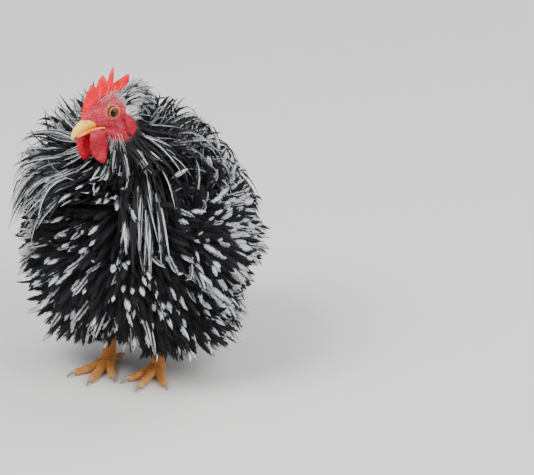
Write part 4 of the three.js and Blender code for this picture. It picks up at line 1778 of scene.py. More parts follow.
def quills(batch: Feathers, fine: int) -> dict[str, np.ndarray]:
    """The line and frame of each feather's quill.

    Args:
        batch: the feathers.
        fine: how many steps each quill has.

    Returns:
        Arrays of place, ahead, side and face, each feather by step by axis.
    """
    share = np.linspace(0, 1, fine + 1)
    side0 = unit(np.cross(batch.lie, batch.out))
    angle = batch.lift[:, None] + batch.curl[:, None] * share**1.4
    swing = batch.sway[:, None] * share
    lie = (
        batch.lie[:, None] * np.cos(swing)[..., None] + side0[:, None] * np.sin(swing)[..., None]
    )
    ahead = lie * np.cos(angle)[..., None] + batch.out[:, None] * np.sin(angle)[..., None]
    ahead = unit(ahead - UP * (batch.droop[:, None] * 2 * share**2)[..., None])
    step = ahead[:, :-1] + ahead[:, 1:]
    travel = np.concatenate([np.zeros_like(ahead[:, :1]), np.cumsum(step, 1)], 1)
    place = batch.root[:, None] + travel * (batch.length / (2 * fine))[:, None, None]
    side = across_of(np.broadcast_to(side0[:, None], ahead.shape), ahead)
    face = np.cross(side, ahead)
    turn = (batch.twist[:, None] * share)[..., None]
    side, face = (
        side * np.cos(turn) + face * np.sin(turn),
        face * np.cos(turn) - side * np.sin(turn),
    )
    return {"place": place, "ahead": ahead, "side": side, "face": face}


def marking(batch: Feathers, share: np.ndarray) -> np.ndarray:
    """Where the white of each feather begins and whether it keeps to the edges.

    Args:
        batch: the feathers.
        share: how far along the feather, feather by place.

    Returns:
        The way to the white, with its edge at a half, the share of grey, and the lacing.
    """
    tone, start = batch.tone[:, None], batch.start[:, None]
    begin = np.select([tone == Tone.WHITE, tone == Tone.BLACK], [0.25 * start, 2.0], start)
    way = np.clip(0.5 + share - begin, 0, 1)
    grey = np.broadcast_to(batch.grey[:, None], way.shape)
    lace = np.broadcast_to((tone == Tone.LACED).astype(float), way.shape)
    return np.stack([way, grey, lace], -1)


@dataclass
class Strands:
    """The points of every feather of a batch, and the faces of one of them."""

    points: np.ndarray
    faces: np.ndarray
    across: np.ndarray
    along: np.ndarray


def blades(
    batch: Feathers, vane: Vane, quill: dict[str, np.ndarray], rng: np.random.Generator
) -> Strands:
    """Builds the solid blade of each feather.

    Args:
        batch: the feathers.
        vane: how each of them is made.
        quill: the lines and frames of their quills.
        rng: the source of their small differences.

    Returns:
        The blades, with how far across and along each point lies.
    """
    n, rings = batch.count(), vane.rings
    share = np.linspace(0, 1, rings + 1)[None, :]
    uneven = 1 + vane.uneven * rng.standard_normal((n, rings + 1))
    half = 0.5 * vane.core * batch.width[:, None] * vane.width_at(share) * uneven
    half = np.maximum(half, 0.1)
    thick = (0.5 * vane.thick * (1 - vane.taper * share))[..., None]
    bow = (vane.camber * half)[..., None]
    place, side, face = quill["place"], quill["side"], quill["face"]
    left = place - side * half[..., None] - face * bow
    right = place + side * half[..., None] - face * bow
    ring = np.stack([left, place + face * thick, right, place - face * thick], 2)
    low = (np.arange(rings)[:, None] * 4 + np.arange(4)).reshape(-1)
    near = (np.arange(rings)[:, None] * 4 + (np.arange(4) + 1) % 4).reshape(-1)
    walls = np.stack([low, near, near + 4, low, near + 4, low + 4], -1).reshape(-1, 3)
    end = 4 * rings
    caps = np.array([[0, 2, 1], [0, 3, 2], [end, end + 1, end + 2], [end, end + 2, end + 3]])
    corners = (n, rings + 1, 4)
    across = np.broadcast_to(np.array([-1.0, 0.0, 1.0, 0.0]) * vane.core, corners)
    along = np.broadcast_to(share[:, :, None], corners)
    return Strands(
        ring.reshape(n, -1, 3),
        np.vstack([walls, caps]),
        across.reshape(n, -1),
        along.reshape(n, -1),
    )


def barbs(
    batch: Feathers, vane: Vane, quill: dict[str, np.ndarray], rng: np.random.Generator
) -> Strands:
    """Builds the loose barbs down both edges of each feather.

    Args:
        batch: the feathers.
        vane: how each of them is made.
        quill: the lines and frames of their quills.
        rng: the source of their small differences.

    Returns:
        The barbs, with how far across and along each point lies.
    """
    n, rings, each = batch.count(), vane.rings, vane.barbs // 2
    spot = np.tile(np.linspace(vane.barb_from, 0.995, each), 2)[None]
    spot = np.clip(spot + 0.02 * rng.standard_normal((n, 2 * each)), 0.05, 0.999)
    sign = np.repeat([-1.0, 1.0], each)[None]
    cell = np.minimum((spot * rings).astype(int), rings - 1)
    mixed = (spot * rings - cell)[..., None]
    rows = np.arange(n)[:, None]
    frames = {}
    for name, values in quill.items():
        first = values[rows, cell]
        frames[name] = first + (values[rows, cell + 1] - first) * mixed
    side, face, ahead = frames["side"], frames["face"], frames["ahead"]
    full = 0.5 * batch.width[:, None] * vane.width_at(spot)
    begin = sign * vane.core * full * vane.barb_seat
    low, more, vary = vane.lean
    lean = np.radians(low + more * spot + vary * rng.standard_normal(spot.shape))
    reach = (1 - vane.barb_seat * vane.core) * full / np.maximum(np.cos(lean), 0.55)
    fuzz = np.where(batch.tone == Tone.BLACK, 2.4, 0.8)[:, None]
    reach += vane.loose * fuzz * full * (1 - spot) ** 0.9
    reach *= 1 + vane.ragged * rng.uniform(-0.5, 1.0, spot.shape)
    way = side * (sign * np.cos(lean))[..., None] + ahead * np.sin(lean)[..., None]
    cross = unit(np.cross(way, face))
    ruffle = vane.ragged * rng.uniform(-0.6, 0.6, spot.shape)
    foot = frames["place"] + side * begin[..., None]
    knee = foot + way * (0.5 * reach)[..., None] + face * (0.10 * reach * ruffle)[..., None]
    tip = (
        foot
        + way * reach[..., None]
        + ahead * (0.2 * reach)[..., None]
        + face * (0.45 * reach * ruffle)[..., None]
    )
    girth = vane.barb_wide * (1 + 0.25 * rng.standard_normal(spot.shape))[..., None]
    barb = np.stack([foot, knee - cross * girth, knee + face * 0.16, knee + cross * girth, tip], 2)
    faces = np.array([[0, 1, 2], [0, 2, 3], [0, 3, 1], [4, 2, 1], [4, 3, 2], [4, 1, 3]])
    faces = (faces[None] + 5 * np.arange(2 * each)[:, None, None]).reshape(-1, 3)
    along = np.stack([spot, spot + 0.03, spot + 0.03, spot + 0.03, spot + 0.06], 2)
    across = np.broadcast_to(sign[..., None] * np.array([0.6, 0.85, 0.85, 0.85, 1.0]), along.shape)
    return Strands(barb.reshape(n, -1, 3), faces, across.reshape(n, -1), along.reshape(n, -1))


def grow(batch: Feathers, vane: Vane, rng: np.random.Generator) -> dict[str, np.ndarray]:
    """Builds the blades and barbs of a batch.

    Args:
        batch: the feathers.
        vane: how each of them is made.
        rng: the source of their small differences.

    Returns:
        Arrays of points, faces, vane and bake map places, and marks.
    """
    quill = quills(batch, vane.rings)
    blade = blades(batch, vane, quill, rng)
    barb = barbs(batch, vane, quill, rng)
    points = np.concatenate([blade.points, barb.points], 1)
    one = np.vstack([blade.faces, barb.faces + blade.points.shape[1]])
    starts = np.arange(batch.count()) * points.shape[1]
    across = np.concatenate([blade.across, barb.across], 1)
    along = np.concatenate([blade.along, barb.along], 1)
    bake = batch.patch[:, None] + PATCH * np.stack([0.5 * across, np.clip(along, 0, 1) - 0.5], -1)
    return {
        "points": points.reshape(-1, 3),
        "faces": (one[None] + starts[:, None, None]).reshape(-1, 3),
        "vane": np.stack([across, along], -1).reshape(-1, 2),
        "bake": bake.reshape(-1, 2),
        "marks": marking(batch, along).reshape(-1, 3),
    }


@dataclass(frozen=True)
class Tract:
    """How the feathers of one tract grow, in millimetres and degrees."""

    vane: Vane
    spacing: float
    length: float
    width: float
    lift: float
    curl: float
    droop: float = 0.0
    spangled: float = 0.0
    laced: float = 0.0
    white: float = 0.0
    start: float = 0.8
    grey: float = 0.1


@dataclass(frozen=True)
class Spread:
    """How much the feathers of a tract differ, one by one and from lock to lock."""

    length: float = 0.15
    width: float = 0.14
    lift: float = 8.0
    lift_lock: float = 18.0
    curl: float = 18.0
    curl_lock: float = 26.0
    start: float = 0.06
    sway: float = 18.0
    sway_lock: float = 30.0
    twist: float = 12.0
    grey: float = 0.12
    wild: float = 0.24
    wild_width: float = 0.45
    wild_curl: float = 55.0


SPREAD = Spread()
WING = Tract(CONTOUR, 3.4, 48, 6.2, 34, 42, spangled=0.5, laced=0.07, start=0.62)
THIGH = Tract(FLUFF, 3.4, 34, 6.4, 16, 14, spangled=0.12, start=0.78, grey=0.35)
TRACTS = {
    Coat.BRISTLE: Tract(BRISTLE, 2.1, 2.4, 0.36, 40, 14, white=1.0, start=0.0),
    Coat.CROWN: Tract(HACKLE, 1.6, 24, 3.4, 8, 22, 0.45, laced=0.3, white=0.46, start=0.12, grey=0.5),
    Coat.RUFF: Tract(HACKLE, 2.4, 34, 3.8, 20, 36, 0.4, laced=0.22, white=0.05, start=0.3, grey=0.2),
    Coat.NECK: Tract(HACKLE, 3.2, 66, 5.8, 50, 20, 0.3, laced=0.4, white=0.03, start=0.34),
    Coat.BREAST: Tract(CONTOUR, 3.3, 38, 5.2, 24, 28, spangled=0.18, laced=0.06, start=0.78),
    Coat.BACK: Tract(HACKLE, 3.3, 42, 5.0, 34, 74, 0.1, spangled=0.16, laced=0.24, start=0.74),
    Coat.BELLY: Tract(FLUFF, 3.5, 34, 6.4, 20, 12, spangled=0.18, start=0.78, grey=0.25),
    Coat.TAIL: Tract(HACKLE, 3.3, 70, 8.0, 46, 44, 0.1, spangled=0.22, laced=0.18, start=0.7),
    Coat.WING_LEFT: WING,
    Coat.WING_RIGHT: WING,
    Coat.THIGH_LEFT: THIGH,
    Coat.THIGH_RIGHT: THIGH,
}
LOOSE_TRACTS = (Coat.NECK, Coat.BACK, Coat.TAIL, Coat.RUFF)
HEAD_TRACTS = (Coat.BRISTLE, Coat.CROWN, Coat.RUFF)
LACE_START = 0.3
ROOF_GAIN = {Coat.NECK: 22.0, Coat.BACK: 6.0, Coat.TAIL: 10.0}


@dataclass
class Plumage:
    """The whole coat, grown tract by tract from the skin."""

    flesh: Flesh
    body_spots: int = 90000
    head_spots: int = 26000
    floor: float = 6.0
    hem: float = 27.0
    ceiling: float = 254.0
    roof_slope: float = 0.42
    middle_y: float = 2.0
    stretch_front: float = 1.16
    stretch_rear: float = 1.28
    stretch_tail: float = 1.48
    fits: int = 8
    bends: int = 4
    bend: float = 0.28
    quill_steps: int = 10
    neck_y: float = -38.0
    crease_x: float = 20.0
    wry: float = 20.0
    names: list[Coat] = field(default_factory=lambda: list(Coat))
    neck_reach: tuple[tuple[float, ...], ...] = (
        (120, 190, 230, 250, 268, 285),
        (98, 92, 84, 62, 36, 12),
    )
    reach: tuple[tuple[float, ...], ...] = (
        (8, 20, 32, 50, 80, 110, 150, 190, 215, 234, 252, 290),
        (30, 64, 76, 88, 96, 100, 94, 92, 84, 66, 36, 16),
        (40, 78, 90, 98, 96, 110, 97, 78, 60, 42, 22, 8),
    )

    def scatter(
        self, skin: bpy.types.Mesh, count: int, rng: np.random.Generator
    ) -> tuple[np.ndarray, np.ndarray]:
        """Spreads candidate roots evenly over a skin.

        Args:
            skin: the skin's mesh in millimetres.
            count: how many candidates to make.
            rng: the source of the spots.

        Returns:
            Places and outward normals.
        """
        points, faces, normals = points_of(skin), triangles_of(skin), points_of(skin, "normal")
        corner = points[faces]
        area = np.linalg.norm(
            np.cross(corner[:, 1] - corner[:, 0], corner[:, 2] - corner[:, 0]), axis=1
        )
        chosen = rng.choice(len(faces), count, p=area / area.sum())
        a, b = rng.random(count), rng.random(count)
        flip = a + b > 1
        a, b = np.where(flip, 1 - a, a), np.where(flip, 1 - b, b)
        share = np.stack([1 - a - b, a, b], -1)[..., None]
        place = np.sum(corner[chosen] * share, 1)
        return place, unit(np.sum(normals[faces[chosen]] * share, 1))

    def first_of(self, tests: list[tuple[Coat | None, np.ndarray]], other: int) -> np.ndarray:
        """The number of the first tract whose test each root passes, or another number."""
        order = [-1 if coat is None else self.names.index(coat) for coat, _ in tests]
        return np.select([test for _, test in tests], order, other)

    def body_tract(self, place: np.ndarray) -> np.ndarray:
        """The tract of each root on the body, as its number, or -1 where none grows.

        Args:
            place: the roots.

        Returns:
            One number for each root.
        """
        x, y, z = place.T
        wing = (np.abs(x) > 56) & (y > -38) & (y < 68) & (z > 104) & (z < 174)
        beside = self.flesh.head.beside(POSTURE.bird_to_head(place)) > 0.5
        tests = [
            (None, (z > 236) & ~beside),
            (Coat.NECK, (z > 178 - 0.35 * (y + 30)) & (y < 24)),
            (Coat.WING_LEFT, wing & (x > 0)),
            (Coat.WING_RIGHT, wing & (x < 0)),
            (Coat.TAIL, (y > 66) & (z > 120)),
            (Coat.THIGH_LEFT, (z < 62) & (x > 8)),
            (Coat.THIGH_RIGHT, (z < 62) & (x < -8)),
            (Coat.BELLY, z < 74),
            (Coat.BREAST, y < -2),
        ]
        return self.first_of(tests, self.names.index(Coat.BACK))

    def head_tract(self, place: np.ndarray) -> np.ndarray:
        """The tract of each root on the head, as its number, or -1 where none grows.

        Args:
            place: the roots.

        Returns:
            One number for each root.
        """
        own = POSTURE.bird_to_head(place)
        _, y, z = own.T
        head = self.flesh.head
        comb = head.comb_share(own) > 0.1
        clothed = (head.clothed(own) > 0.5) & ~comb
        lobe = head.lobe_share(own) > 0.05
        wattle = head.wattle_share(own) > 0.05
        skin = ~clothed & ~comb & ~lobe & ~wattle & (head.eye_distance(own) > 7.0) & (y > -19)
        brow = (z > 9) | ((z < -18) & (y < 2))
        ear = head.ear_distance(own) < 4.6
        tests = [
            (None, lobe | wattle | (z < -32)),
            (Coat.CROWN, (clothed & (z > -9)) | ear),
            (Coat.RUFF, clothed),
            (Coat.BRISTLE, skin & brow),
        ]
        return self.first_of(tests, -1)

    def thinned(self, place: np.ndarray, tract: np.ndarray) -> np.ndarray:
        """Keeps spots that lie at least their tract's spacing from those kept before.

        Args:
            place: the spots, in the order that they are tried.
            tract: the number of each one's tract.

        Returns:
            The places in the list of those kept.
        """
        spacings = [TRACTS[c].spacing for c in self.names]
        cell = max(spacings)
        kept: dict[tuple[int, int, int], list[int]] = {}
        chosen = []
        boxes = np.floor(place / cell).astype(int)
        steps = [(i, j, k) for i in (-1, 0, 1) for j in (-1, 0, 1) for k in (-1, 0, 1)]
        spots = place.tolist()
        for index, (box, kind) in enumerate(zip(boxes.tolist(), tract.tolist())):
            x, y, z = spots[index]
            limit = spacings[kind] ** 2
            near = [o for i, j, k in steps for o in kept.get((box[0] + i, box[1] + j, box[2] + k), ())]
            gaps = ((x - spots[o][0]) ** 2 + (y - spots[o][1]) ** 2 + (z - spots[o][2]) ** 2 for o in near)
            if all(gap >= limit for gap in gaps):
                kept.setdefault(tuple(box), []).append(index)
                chosen.append(index)
        return np.array(chosen)

    def lie_of(self, coat: Coat, place: np.ndarray, normal: np.ndarray) -> np.ndarray:
        """The way that feathers lie on the skin.

        Args:
            coat: the tract.
            place: the roots.
            normal: the skin's outward directions there.

        Returns:
            Directions in the skin's plane.
        """
        x, y, z = place.T
        zero, one = np.zeros_like(x), np.ones_like(x)
        back = POSTURE.head_turn() @ np.array([0.0, 1.0, 0.1])
        if coat in (Coat.CROWN, Coat.BRISTLE):
            low = smooth(-6.0, -14.0, POSTURE.bird_to_head(place)[:, 2])[:, None]
            flow = back * (1 - 0.7 * low) + UP * (0.25 - 1.1 * low)
        elif coat is Coat.RUFF:
            flow = np.broadcast_to(0.5 * back - 0.8 * UP, place.shape)
        elif coat is Coat.NECK:
            _, left, ahead = self.seen(normal)
            lock = np.clip(2 * left * ahead, 0, 1)
            flow = np.stack([-0.7 * lock, 0.25 - 1.1 * lock, -one], -1)
        elif coat is Coat.TAIL:
            flow = np.stack([x / 24, 0.5 * one, 0.25 + (z - 148) / 24], -1)
        elif coat in (Coat.WING_LEFT, Coat.WING_RIGHT):
            flow = np.stack([0.3 * np.sign(x), 0.9 * one, -0.75 + (z - 136) / 60], -1)
        elif coat in (Coat.THIGH_LEFT, Coat.THIGH_RIGHT):
            flow = np.stack([zero, 0.15 * one, -one], -1)
        else:
            rise = np.clip((z - 126) / 62, 0, 1)
            part = 0.45 * np.tanh((x - self.crease_x) / 9) * smooth(130.0, 90.0, z) * (y < 0)
            aside = -0.4 * smooth(110.0, 150.0, z) * smooth(0.0, -30.0, y)
            flow = np.stack([0.4 * x / 60 + part + aside, 0.35 * one, -0.85 + 0.9 * rise], -1)
        return across_of(flow, normal)

    def unwrapped(self, coat: Coat, place: np.ndarray) -> np.ndarray:
        """Each root's place on the skin's own unwrap, round the middle of its tract.

        Args:
            coat: the tract.
            place: the roots.

        Returns:
            Places on the unwrap, from 0 to 1.
        """
        middles = {
            Coat.BRISTLE: (2.0, -60.0, 260.0),
            Coat.CROWN: (2.0, -60.0, 255.0),
            Coat.RUFF: (2.0, -54.0, 240.0),
            Coat.NECK: (0.0, -34.0, 205.0),
            Coat.TAIL: (0.0, 70.0, 145.0),
            Coat.WING_LEFT: (40.0, 14.0, 136.0),
            Coat.WING_RIGHT: (-40.0, 14.0, 136.0),
            Coat.THIGH_LEFT: (28.0, 3.0, 60.0),
            Coat.THIGH_RIGHT: (-28.0, 3.0, 60.0),
        }
        off = place - np.array(middles.get(coat, self.flesh.trunk_at))
        off[:, 2] *= 0.5 if coat is Coat.NECK else 1.0
        around = np.arctan2(off[:, 1], off[:, 0]) / (2 * math.pi) + 0.5
        height = unit(off)[:, 2] * 0.5 + 0.5
        return 0.01 + 0.98 * np.stack([around, height], -1)

    def seen(self, normal: np.ndarray) -> tuple[np.ndarray, np.ndarray, np.ndarray]:
        """How far each spot faces to its right rear, its left front and forward of the wry neck.

        Args:
            normal: the skin's outward directions.

        Returns:
            Three shares from 0 to 1 for each spot.
        """
        turn = math.radians(self.wry)
        over = normal[:, 0] * math.cos(turn) + normal[:, 1] * math.sin(turn)
        ahead = normal[:, 0] * math.sin(turn) - normal[:, 1] * math.cos(turn)
        return np.clip(-over, 0, 1), np.clip(over, 0, 1), np.clip(ahead, 0, 1)

    def neck_ways(
        self, place: np.ndarray, normal: np.ndarray
    ) -> tuple[np.ndarray, np.ndarray, np.ndarray, np.ndarray]:
        """How the neck's hackles stand, by the side of the neck that they grow on.

        Args:
            place: the roots.
            normal: the skin's outward directions there.

        Returns:
            A factor for length, lift and curl to add in degrees, and droop.
        """
        high = np.clip((place[:, 2] - 185) / 55, 0, 1)
        right, left, ahead = self.seen(normal)
        rear = np.clip(normal[:, 1], 0, 1)
        throat = ahead**2 * smooth(0.55, 0.2, left)
        lock = left * ahead * 2
        scale = 0.95 + 0.15 * left + 0.3 * right - 0.45 * throat - 0.1 * high + 0.15 * lock
        nape = rear * high
        scale = scale * (1 - 0.3 * rear * (1 - high))
        lift = 36 * right + 30 * left + 10 * rear - 46 * lock + 4 * high * right + 26 * nape
        curl = -6 * left + 56 * throat + 90 * rear - 20 * lock - 30 * nape
        droop = 1.1 * left * (1 - 0.4 * rear) + 0.6 * right * (1.2 - high) + 0.8 * lock
        return scale, lift, curl, droop

    def odds_of(self, coat: Coat, place: np.ndarray, normal: np.ndarray) -> np.ndarray:
        """How the odds of white differ over a tract.

        Args:
            coat: the tract.
            place: the roots.
            normal: the skin's outward directions there.

        Returns:
            A factor for each feather's draw, which gives more white the lower it is.
        """
        z = place[:, 2]
        if coat is Coat.BREAST:
            return 0.9 + 0.2 * smooth(110.0, 160.0, z)
        if coat is Coat.WING_RIGHT:
            return np.full(len(z), 1.3)
        if coat is not Coat.NECK:
            return np.ones(len(z))
        rear = smooth(0.1, 0.7, normal[:, 1])
        behind_ear = self.seen(normal)[1] * smooth(195.0, 215.0, z)
        front_lock = np.prod(self.seen(normal)[1:], axis=0)
        return 0.8 + 0.5 * rear + 1.2 * behind_ear + 0.9 * front_lock

    def finish_neck(self, batch: Feathers, z: np.ndarray) -> None:
        """Turns some hackles under the throat into white wisps, and flattens those by the face.

        Args:
            batch: the neck's feathers, with lift and curl still in degrees.
            z: the heights of their roots on the skin.
        """
        right, left, ahead = self.seen(batch.out)
        under = (ahead > 0.7) & (left < 0.45) & (batch.tone == Tone.LACED)
        wisp = under & (z > 205)
        batch.tone = np.where(wisp, Tone.WHITE, np.where(under, Tone.SPANGLED, batch.tone))
        batch.start = np.where(under, 0.7, batch.start)
        batch.width = batch.width * (1 - 0.5 * wisp + 0.25 * left * ahead)
        below = smooth(0.15, 0.6, ahead) * smooth(203.0, 220.0, z)
        below = np.maximum(below, 0.8 * smooth(214.0, 228.0, z) * smooth(0.3, 0.8, right))
        top = smooth(233.0, 240.0, z)
        batch.length = batch.length * (1 - 0.45 * wisp) * (1 - 0.5 * below) * (1 - 0.45 * top)
        batch.lift = batch.lift * (1 - 0.75 * below) * (1 - 0.5 * top)
        batch.curl = (batch.curl - 40 * wisp) * (1 - 0.9 * top)

    def planted(
        self, coat: Coat, place: np.ndarray, normal: np.ndarray, rng: np.random.Generator
    ) -> Feathers:
        """Works out every feather of a tract.

        Args:
            coat: the tract.
            place: the roots on the skin, in millimetres.
            normal: the skin's outward directions there.
            rng: the source of the differences between feathers.

        Returns:
            The tract's feathers.
        """
        tract = TRACTS[coat]
        n = len(place)
        z = place[:, 2]
        lock = noise_at(place, 0.055, 4.0)
        swirl = noise_at(place, 0.045, 11.0)
        length = tract.length * (1 + SPREAD.length * rng.standard_normal(n)).clip(0.6, 1.4)
        lift = tract.lift + SPREAD.lift * rng.standard_normal(n) + SPREAD.lift_lock * lock
        curl = tract.curl + SPREAD.curl * rng.standard_normal(n) + SPREAD.curl_lock * swirl
        droop = np.full(n, tract.droop)
        start = tract.start + SPREAD.start * rng.standard_normal(n)
        if coat is Coat.NECK:
            scale, more_lift, more_curl, more_droop = self.neck_ways(place, normal)
            length, lift, curl = length * scale, lift + more_lift, curl + more_curl
            slim = 1 - 0.4 * np.clip(normal[:, 1], 0, 1)
            droop = droop * 0.3 + more_droop * rng.uniform(0.6, 1.3, n)
        flank = smooth(112.0, 70.0, z) * smooth(5.0, 45.0, np.abs(place[:, 0] + 5))
        flank = flank * np.where(place[:, 0] > 0, 1.0, 0.5) * (coat not in HEAD_TRACTS)
        lift, length = lift + 34 * flank, length * (1 + 0.45 * flank)
        start = start + 0.05 * flank
        if coat in (Coat.THIGH_LEFT, Coat.THIGH_RIGHT, Coat.BELLY):
            length = np.minimum(length, np.maximum(z - 30, 10) * (1.15 + 0.6 * flank))
        if coat is Coat.BRISTLE:
            own = POSTURE.bird_to_head(place)
            brow = smooth(5.0, 10.0, own[:, 2]) * smooth(-14.0, -8.0, own[:, 1])
            length = length * (1 + 3.4 * brow + 4.6 * smooth(-14.0, -18.0, own[:, 2]))
        width = tract.width * (1 + SPREAD.width * rng.standard_normal(n)).clip(0.6, 1.4)
        if coat is Coat.NECK:
            width = width * slim
        if coat in LOOSE_TRACTS:
            wild = rng.random(n) < SPREAD.wild
            width = width * (1 - SPREAD.wild_width * wild)
            curl = curl + SPREAD.wild_curl * wild
        odds = rng.random(n) * self.odds_of(coat, place, normal)
        if coat is Coat.WING_RIGHT:
            start = start + 0.08
        limits = np.cumsum([tract.spangled, tract.laced, tract.white])
        tone = np.select([odds < limit for limit in limits], list(Tone)[:3], Tone.BLACK)
        batch = Feathers(
            root=place - normal * min(2.0, 0.05 * tract.length),
            out=normal,
            lie=self.lie_of(coat, place, normal),
            length=length,
            width=width,
            lift=lift,
            curl=curl,
            droop=droop,
            sway=np.radians(SPREAD.sway * rng.standard_normal(n) + SPREAD.sway_lock * swirl),
            twist=np.radians(SPREAD.twist * rng.standard_normal(n)),
            tone=tone,
            start=start,
            grey=np.clip(tract.grey + SPREAD.grey * rng.standard_normal(n), 0, 1),
            patch=self.unwrapped(coat, place),
        )
        if coat is Coat.NECK:
            self.finish_neck(batch, z)
        if coat is Coat.CROWN:
            own = POSTURE.bird_to_head(place)
            tuft = (own[:, 2] < 5) & (own[:, 1] < 17)
            batch.tone = np.where(tuft, Tone.WHITE, batch.tone)
            batch.length = batch.length * (1 - 0.55 * tuft)
        if tract.vane is not HACKLE:
            batch.length = batch.length * np.where(batch.tone == Tone.BLACK, 0.9, 1.08)
        batch.start = np.where(batch.tone == Tone.LACED, LACE_START, batch.start)
        batch.lift, batch.curl = np.radians(batch.lift), np.radians(batch.curl)
        return batch if coat in HEAD_TRACTS else self.trimmed(coat, batch, rng)

    def trimmed(self, coat: Coat, batch: Feathers, rng: np.random.Generator) -> Feathers:
        """Shortens feathers that would stand out past the bird's outline.

        Args:
            coat: the tract.
            batch: its feathers.
            rng: the source of the small differences between them.

        Returns:
            The same feathers, none too long.
        """
        heights, right, left = self.reach
        neck_heights, neck_limits = self.neck_reach
        slack = 1 + 0.05 * rng.standard_normal(batch.count()).clip(-1.5, 0.8)
        rear = self.stretch_tail if coat is Coat.TAIL else self.stretch_rear
        fine = self.quill_steps
        turn = math.radians(self.wry)
        for fit in range(self.fits):
            x, y, z = np.moveaxis(quills(batch, fine)["place"], -1, 0)
            ahead = y - (self.neck_y if coat is Coat.NECK else self.middle_y)
            stretch = np.where(ahead < 0, self.stretch_front, rear)
            flat = np.hypot(x, ahead / (1.0 if coat is Coat.NECK else stretch))
            side = (x * math.cos(turn) + ahead * math.sin(turn)) / np.maximum(flat, 1.0)
            share = 0.5 + 0.5 * np.clip(side, -1, 1)
            limit = np.interp(z, heights, right) * (1 - share) + np.interp(z, heights, left) * share
            if coat is Coat.NECK:
                behind = smooth(0.0, 0.8, ahead / np.maximum(flat, 1.0))
                limit = np.interp(z, neck_heights, neck_limits)
                limit = limit * (1 - 0.35 * share * (1 - behind) + 0.18 * behind)
            over = flat > np.maximum(slack[:, None] * limit, flat[:, :1] + 14)
            hanging = np.minimum(self.hem, z[:, :1] - 12) * (2 - slack[:, None])
            roof = self.ceiling + ROOF_GAIN.get(coat, 0.0) - self.roof_slope * (y - self.neck_y)
            over = over | (z < hanging) | (z > np.maximum(roof, z[:, :1] + 7))
            if fit < self.bends:
                bent = over.any(1) & (z[:, 0] < 214) & (coat in LOOSE_TRACTS)
                batch.droop = batch.droop + self.bend * bent
            else:
                first = np.where(over.any(1), over.argmax(1), fine)
                kept = np.maximum(first / fine, 0.4)
                batch.length, batch.width = batch.length * kept, batch.width * np.sqrt(kept)
        return batch

    def build(
        self, body: bpy.types.Mesh, top: bpy.types.Mesh, finish: bpy.types.Material
    ) -> None:
        """Grows the coat and makes its pieces.

        Args:
            body: the body's skin in millimetres.
            top: the head's skin in millimetres.
            finish: the plumage's material.
        """
        rng = np.random.default_rng(SEED)
        low, low_normal = self.scatter(body, self.body_spots, rng)
        high, high_normal = self.scatter(top, self.head_spots, rng)
        place, normal = np.vstack([low, high]), np.vstack([low_normal, high_normal])
        tract = np.concatenate([self.body_tract(low), self.head_tract(high)])
        grown = tract >= 0
        place, normal, tract = place[grown], normal[grown], tract[grown]
        kept = self.thinned(place, tract)
        place, normal, tract = place[kept], normal[kept], tract[kept]
        for number, coat in enumerate(self.names):
            mine = tract == number
            batch = self.planted(coat, place[mine], normal[mine], rng)
            pieces = math.ceil(batch.count() / MAX_FEATHERS)
            log.info("%s: %d feathers", coat.value, batch.count())
            order = np.argsort(batch.patch[:, 0])
            for part, chosen in enumerate(np.array_split(order, pieces)):
                name = f"coat_{coat.value}" + (f"_{part + 1}" if pieces > 1 else "")
                self.piece(name, batch.part(chosen), TRACTS[coat].vane, finish, rng)

    def piece(
        self,
        name: str,
        batch: Feathers,
        vane: Vane,
        finish: bpy.types.Material,
        rng: np.random.Generator,
    ) -> None:
        """Makes one piece of the coat.

        Args:
            name: the piece's name.
            batch: its feathers.
            vane: how they are built.
            finish: the plumage's material.
            rng: the source of small differences.
        """
        made = grow(batch, vane, rng)
        points = made["points"]
        low = self.floor
        points[:, 2] = np.where(
            points[:, 2] < low, low - 0.15 * (low - points[:, 2]), points[:, 2]
        ).clip(1.0, None)
        mesh = new_mesh(name, POSTURE.to_frame(points), made["faces"])
        lay_map(mesh, BAKE_MAP, made["bake"])
        lay_map(mesh, VANE_MAP, made["vane"])
        paint(mesh, MARKING, made["marks"])
        dress(new_object(name, mesh), finish, [])


# Studio


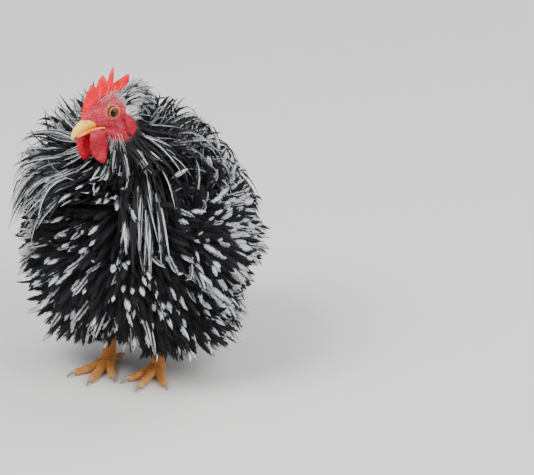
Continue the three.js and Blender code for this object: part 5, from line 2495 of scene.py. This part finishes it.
@dataclass
class Studio:
    """The camera, the pale floor and soft light."""

    azimuth: float = 20.0
    elevation: float = 20.0
    distance: float = 8.0
    mm_per_pixel: float = 0.88
    frame_pixels: tuple[int, int] = (534, 475)
    body_pixel: tuple[float, float] = (139.5, 386.5)
    rise_at_body_pixel: float = -20.4
    depth: float = -37.0
    sensor: float = 36.0
    floor_half: float = 8.0
    aim: Triple = (0.0, 0.0, 0.14)
    sky: Triple = (0.92, 0.95, 1.0)
    sky_strength: float = 0.85
    lights: tuple[tuple[str, Triple, float, float], ...] = (
        ("key", (-0.8, -1.5, 2.4), 1.4, 90.0),
        ("fill", (1.9, -0.9, 1.6), 1.6, 62.0),
        ("rear", (0.6, 1.9, 1.9), 1.2, 26.0),
    )

    def axes(self) -> tuple[Vector, Vector, Vector]:
        """The camera's right, up and forward directions.

        Returns:
            Three directions at length one.
        """
        a, e = math.radians(self.azimuth), math.radians(self.elevation)
        right = Vector((math.cos(a), math.sin(a), 0))
        forward = Vector((-math.sin(a) * math.cos(e), math.cos(a) * math.cos(e), -math.sin(e)))
        return right, right.cross(forward), forward

    def camera(self) -> None:
        """Sets the camera at the photograph's angle and framing."""
        right, up, forward = self.axes()
        wide, tall = self.frame_pixels
        over = (wide / 2 - self.body_pixel[0]) * self.mm_per_pixel
        rise = (self.body_pixel[1] - tall / 2) * self.mm_per_pixel + self.rise_at_body_pixel
        middle = (right * over + up * rise + forward * self.depth) * MM
        data = bpy.data.cameras.new("camera")
        data.sensor_width = self.sensor
        data.lens = self.sensor * self.distance / (wide * self.mm_per_pixel * MM)
        data.clip_start, data.clip_end = 0.05, 50.0
        place = middle - forward * self.distance
        bpy.context.scene.camera = aimed("camera", data, place, forward)

    def floor(self, finish: bpy.types.Material) -> None:
        """Lays the pale floor.

        Args:
            finish: the floor's material.
        """
        corners = np.array([(-1, -1, 0), (1, -1, 0), (1, 1, 0), (-1, 1, 0)]) * self.floor_half
        mesh = new_mesh("floor", corners, np.array([(0, 1, 2), (0, 2, 3)]))
        made = new_object("floor", mesh)
        made.data.materials.append(finish)

    def light(self, name: str, at: tuple[float, ...], size: float, power: float) -> None:
        """Adds one soft square light that faces the bird.

        Args:
            name: the light's name.
            at: its place in metres.
            size: the length of its side in metres.
            power: its power in watts.
        """
        data = bpy.data.lights.new(name, "AREA")
        data.size = size
        data.energy = power
        aimed(name, data, Vector(at), Vector(self.aim) - Vector(at))

    def build(self, finish: bpy.types.Material) -> None:
        """Sets up the whole studio.

        Args:
            finish: the floor's material.
        """
        self.camera()
        self.floor(finish)
        world = bpy.data.worlds.new("studio")
        world.use_nodes = True
        sky = world.node_tree.nodes["Background"]
        sky.inputs["Color"].default_value = (*self.sky, 1.0)
        sky.inputs["Strength"].default_value = self.sky_strength
        bpy.context.scene.world = world
        for light in self.lights:
            self.light(*light)


def main() -> None:
    """Builds and dresses the bird, piece by piece."""
    logging.basicConfig(level=logging.INFO, format="%(message)s")
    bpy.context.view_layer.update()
    Studio().build(StudioFinish().build())
    flesh = Flesh(Head())
    body, top = flesh.build(SKIN.build())
    Bill().build(HORN.build())
    Eyes(flesh.head).build(EYE.build())
    scales, claws = SCALES.build(), CLAWS.build()
    for word, side in SIDES.items():
        Leg(word, side).build(scales, claws)
    Plumage(flesh).build(body, top, PlumeFinish().build())


if __name__ == "__main__":
    main()
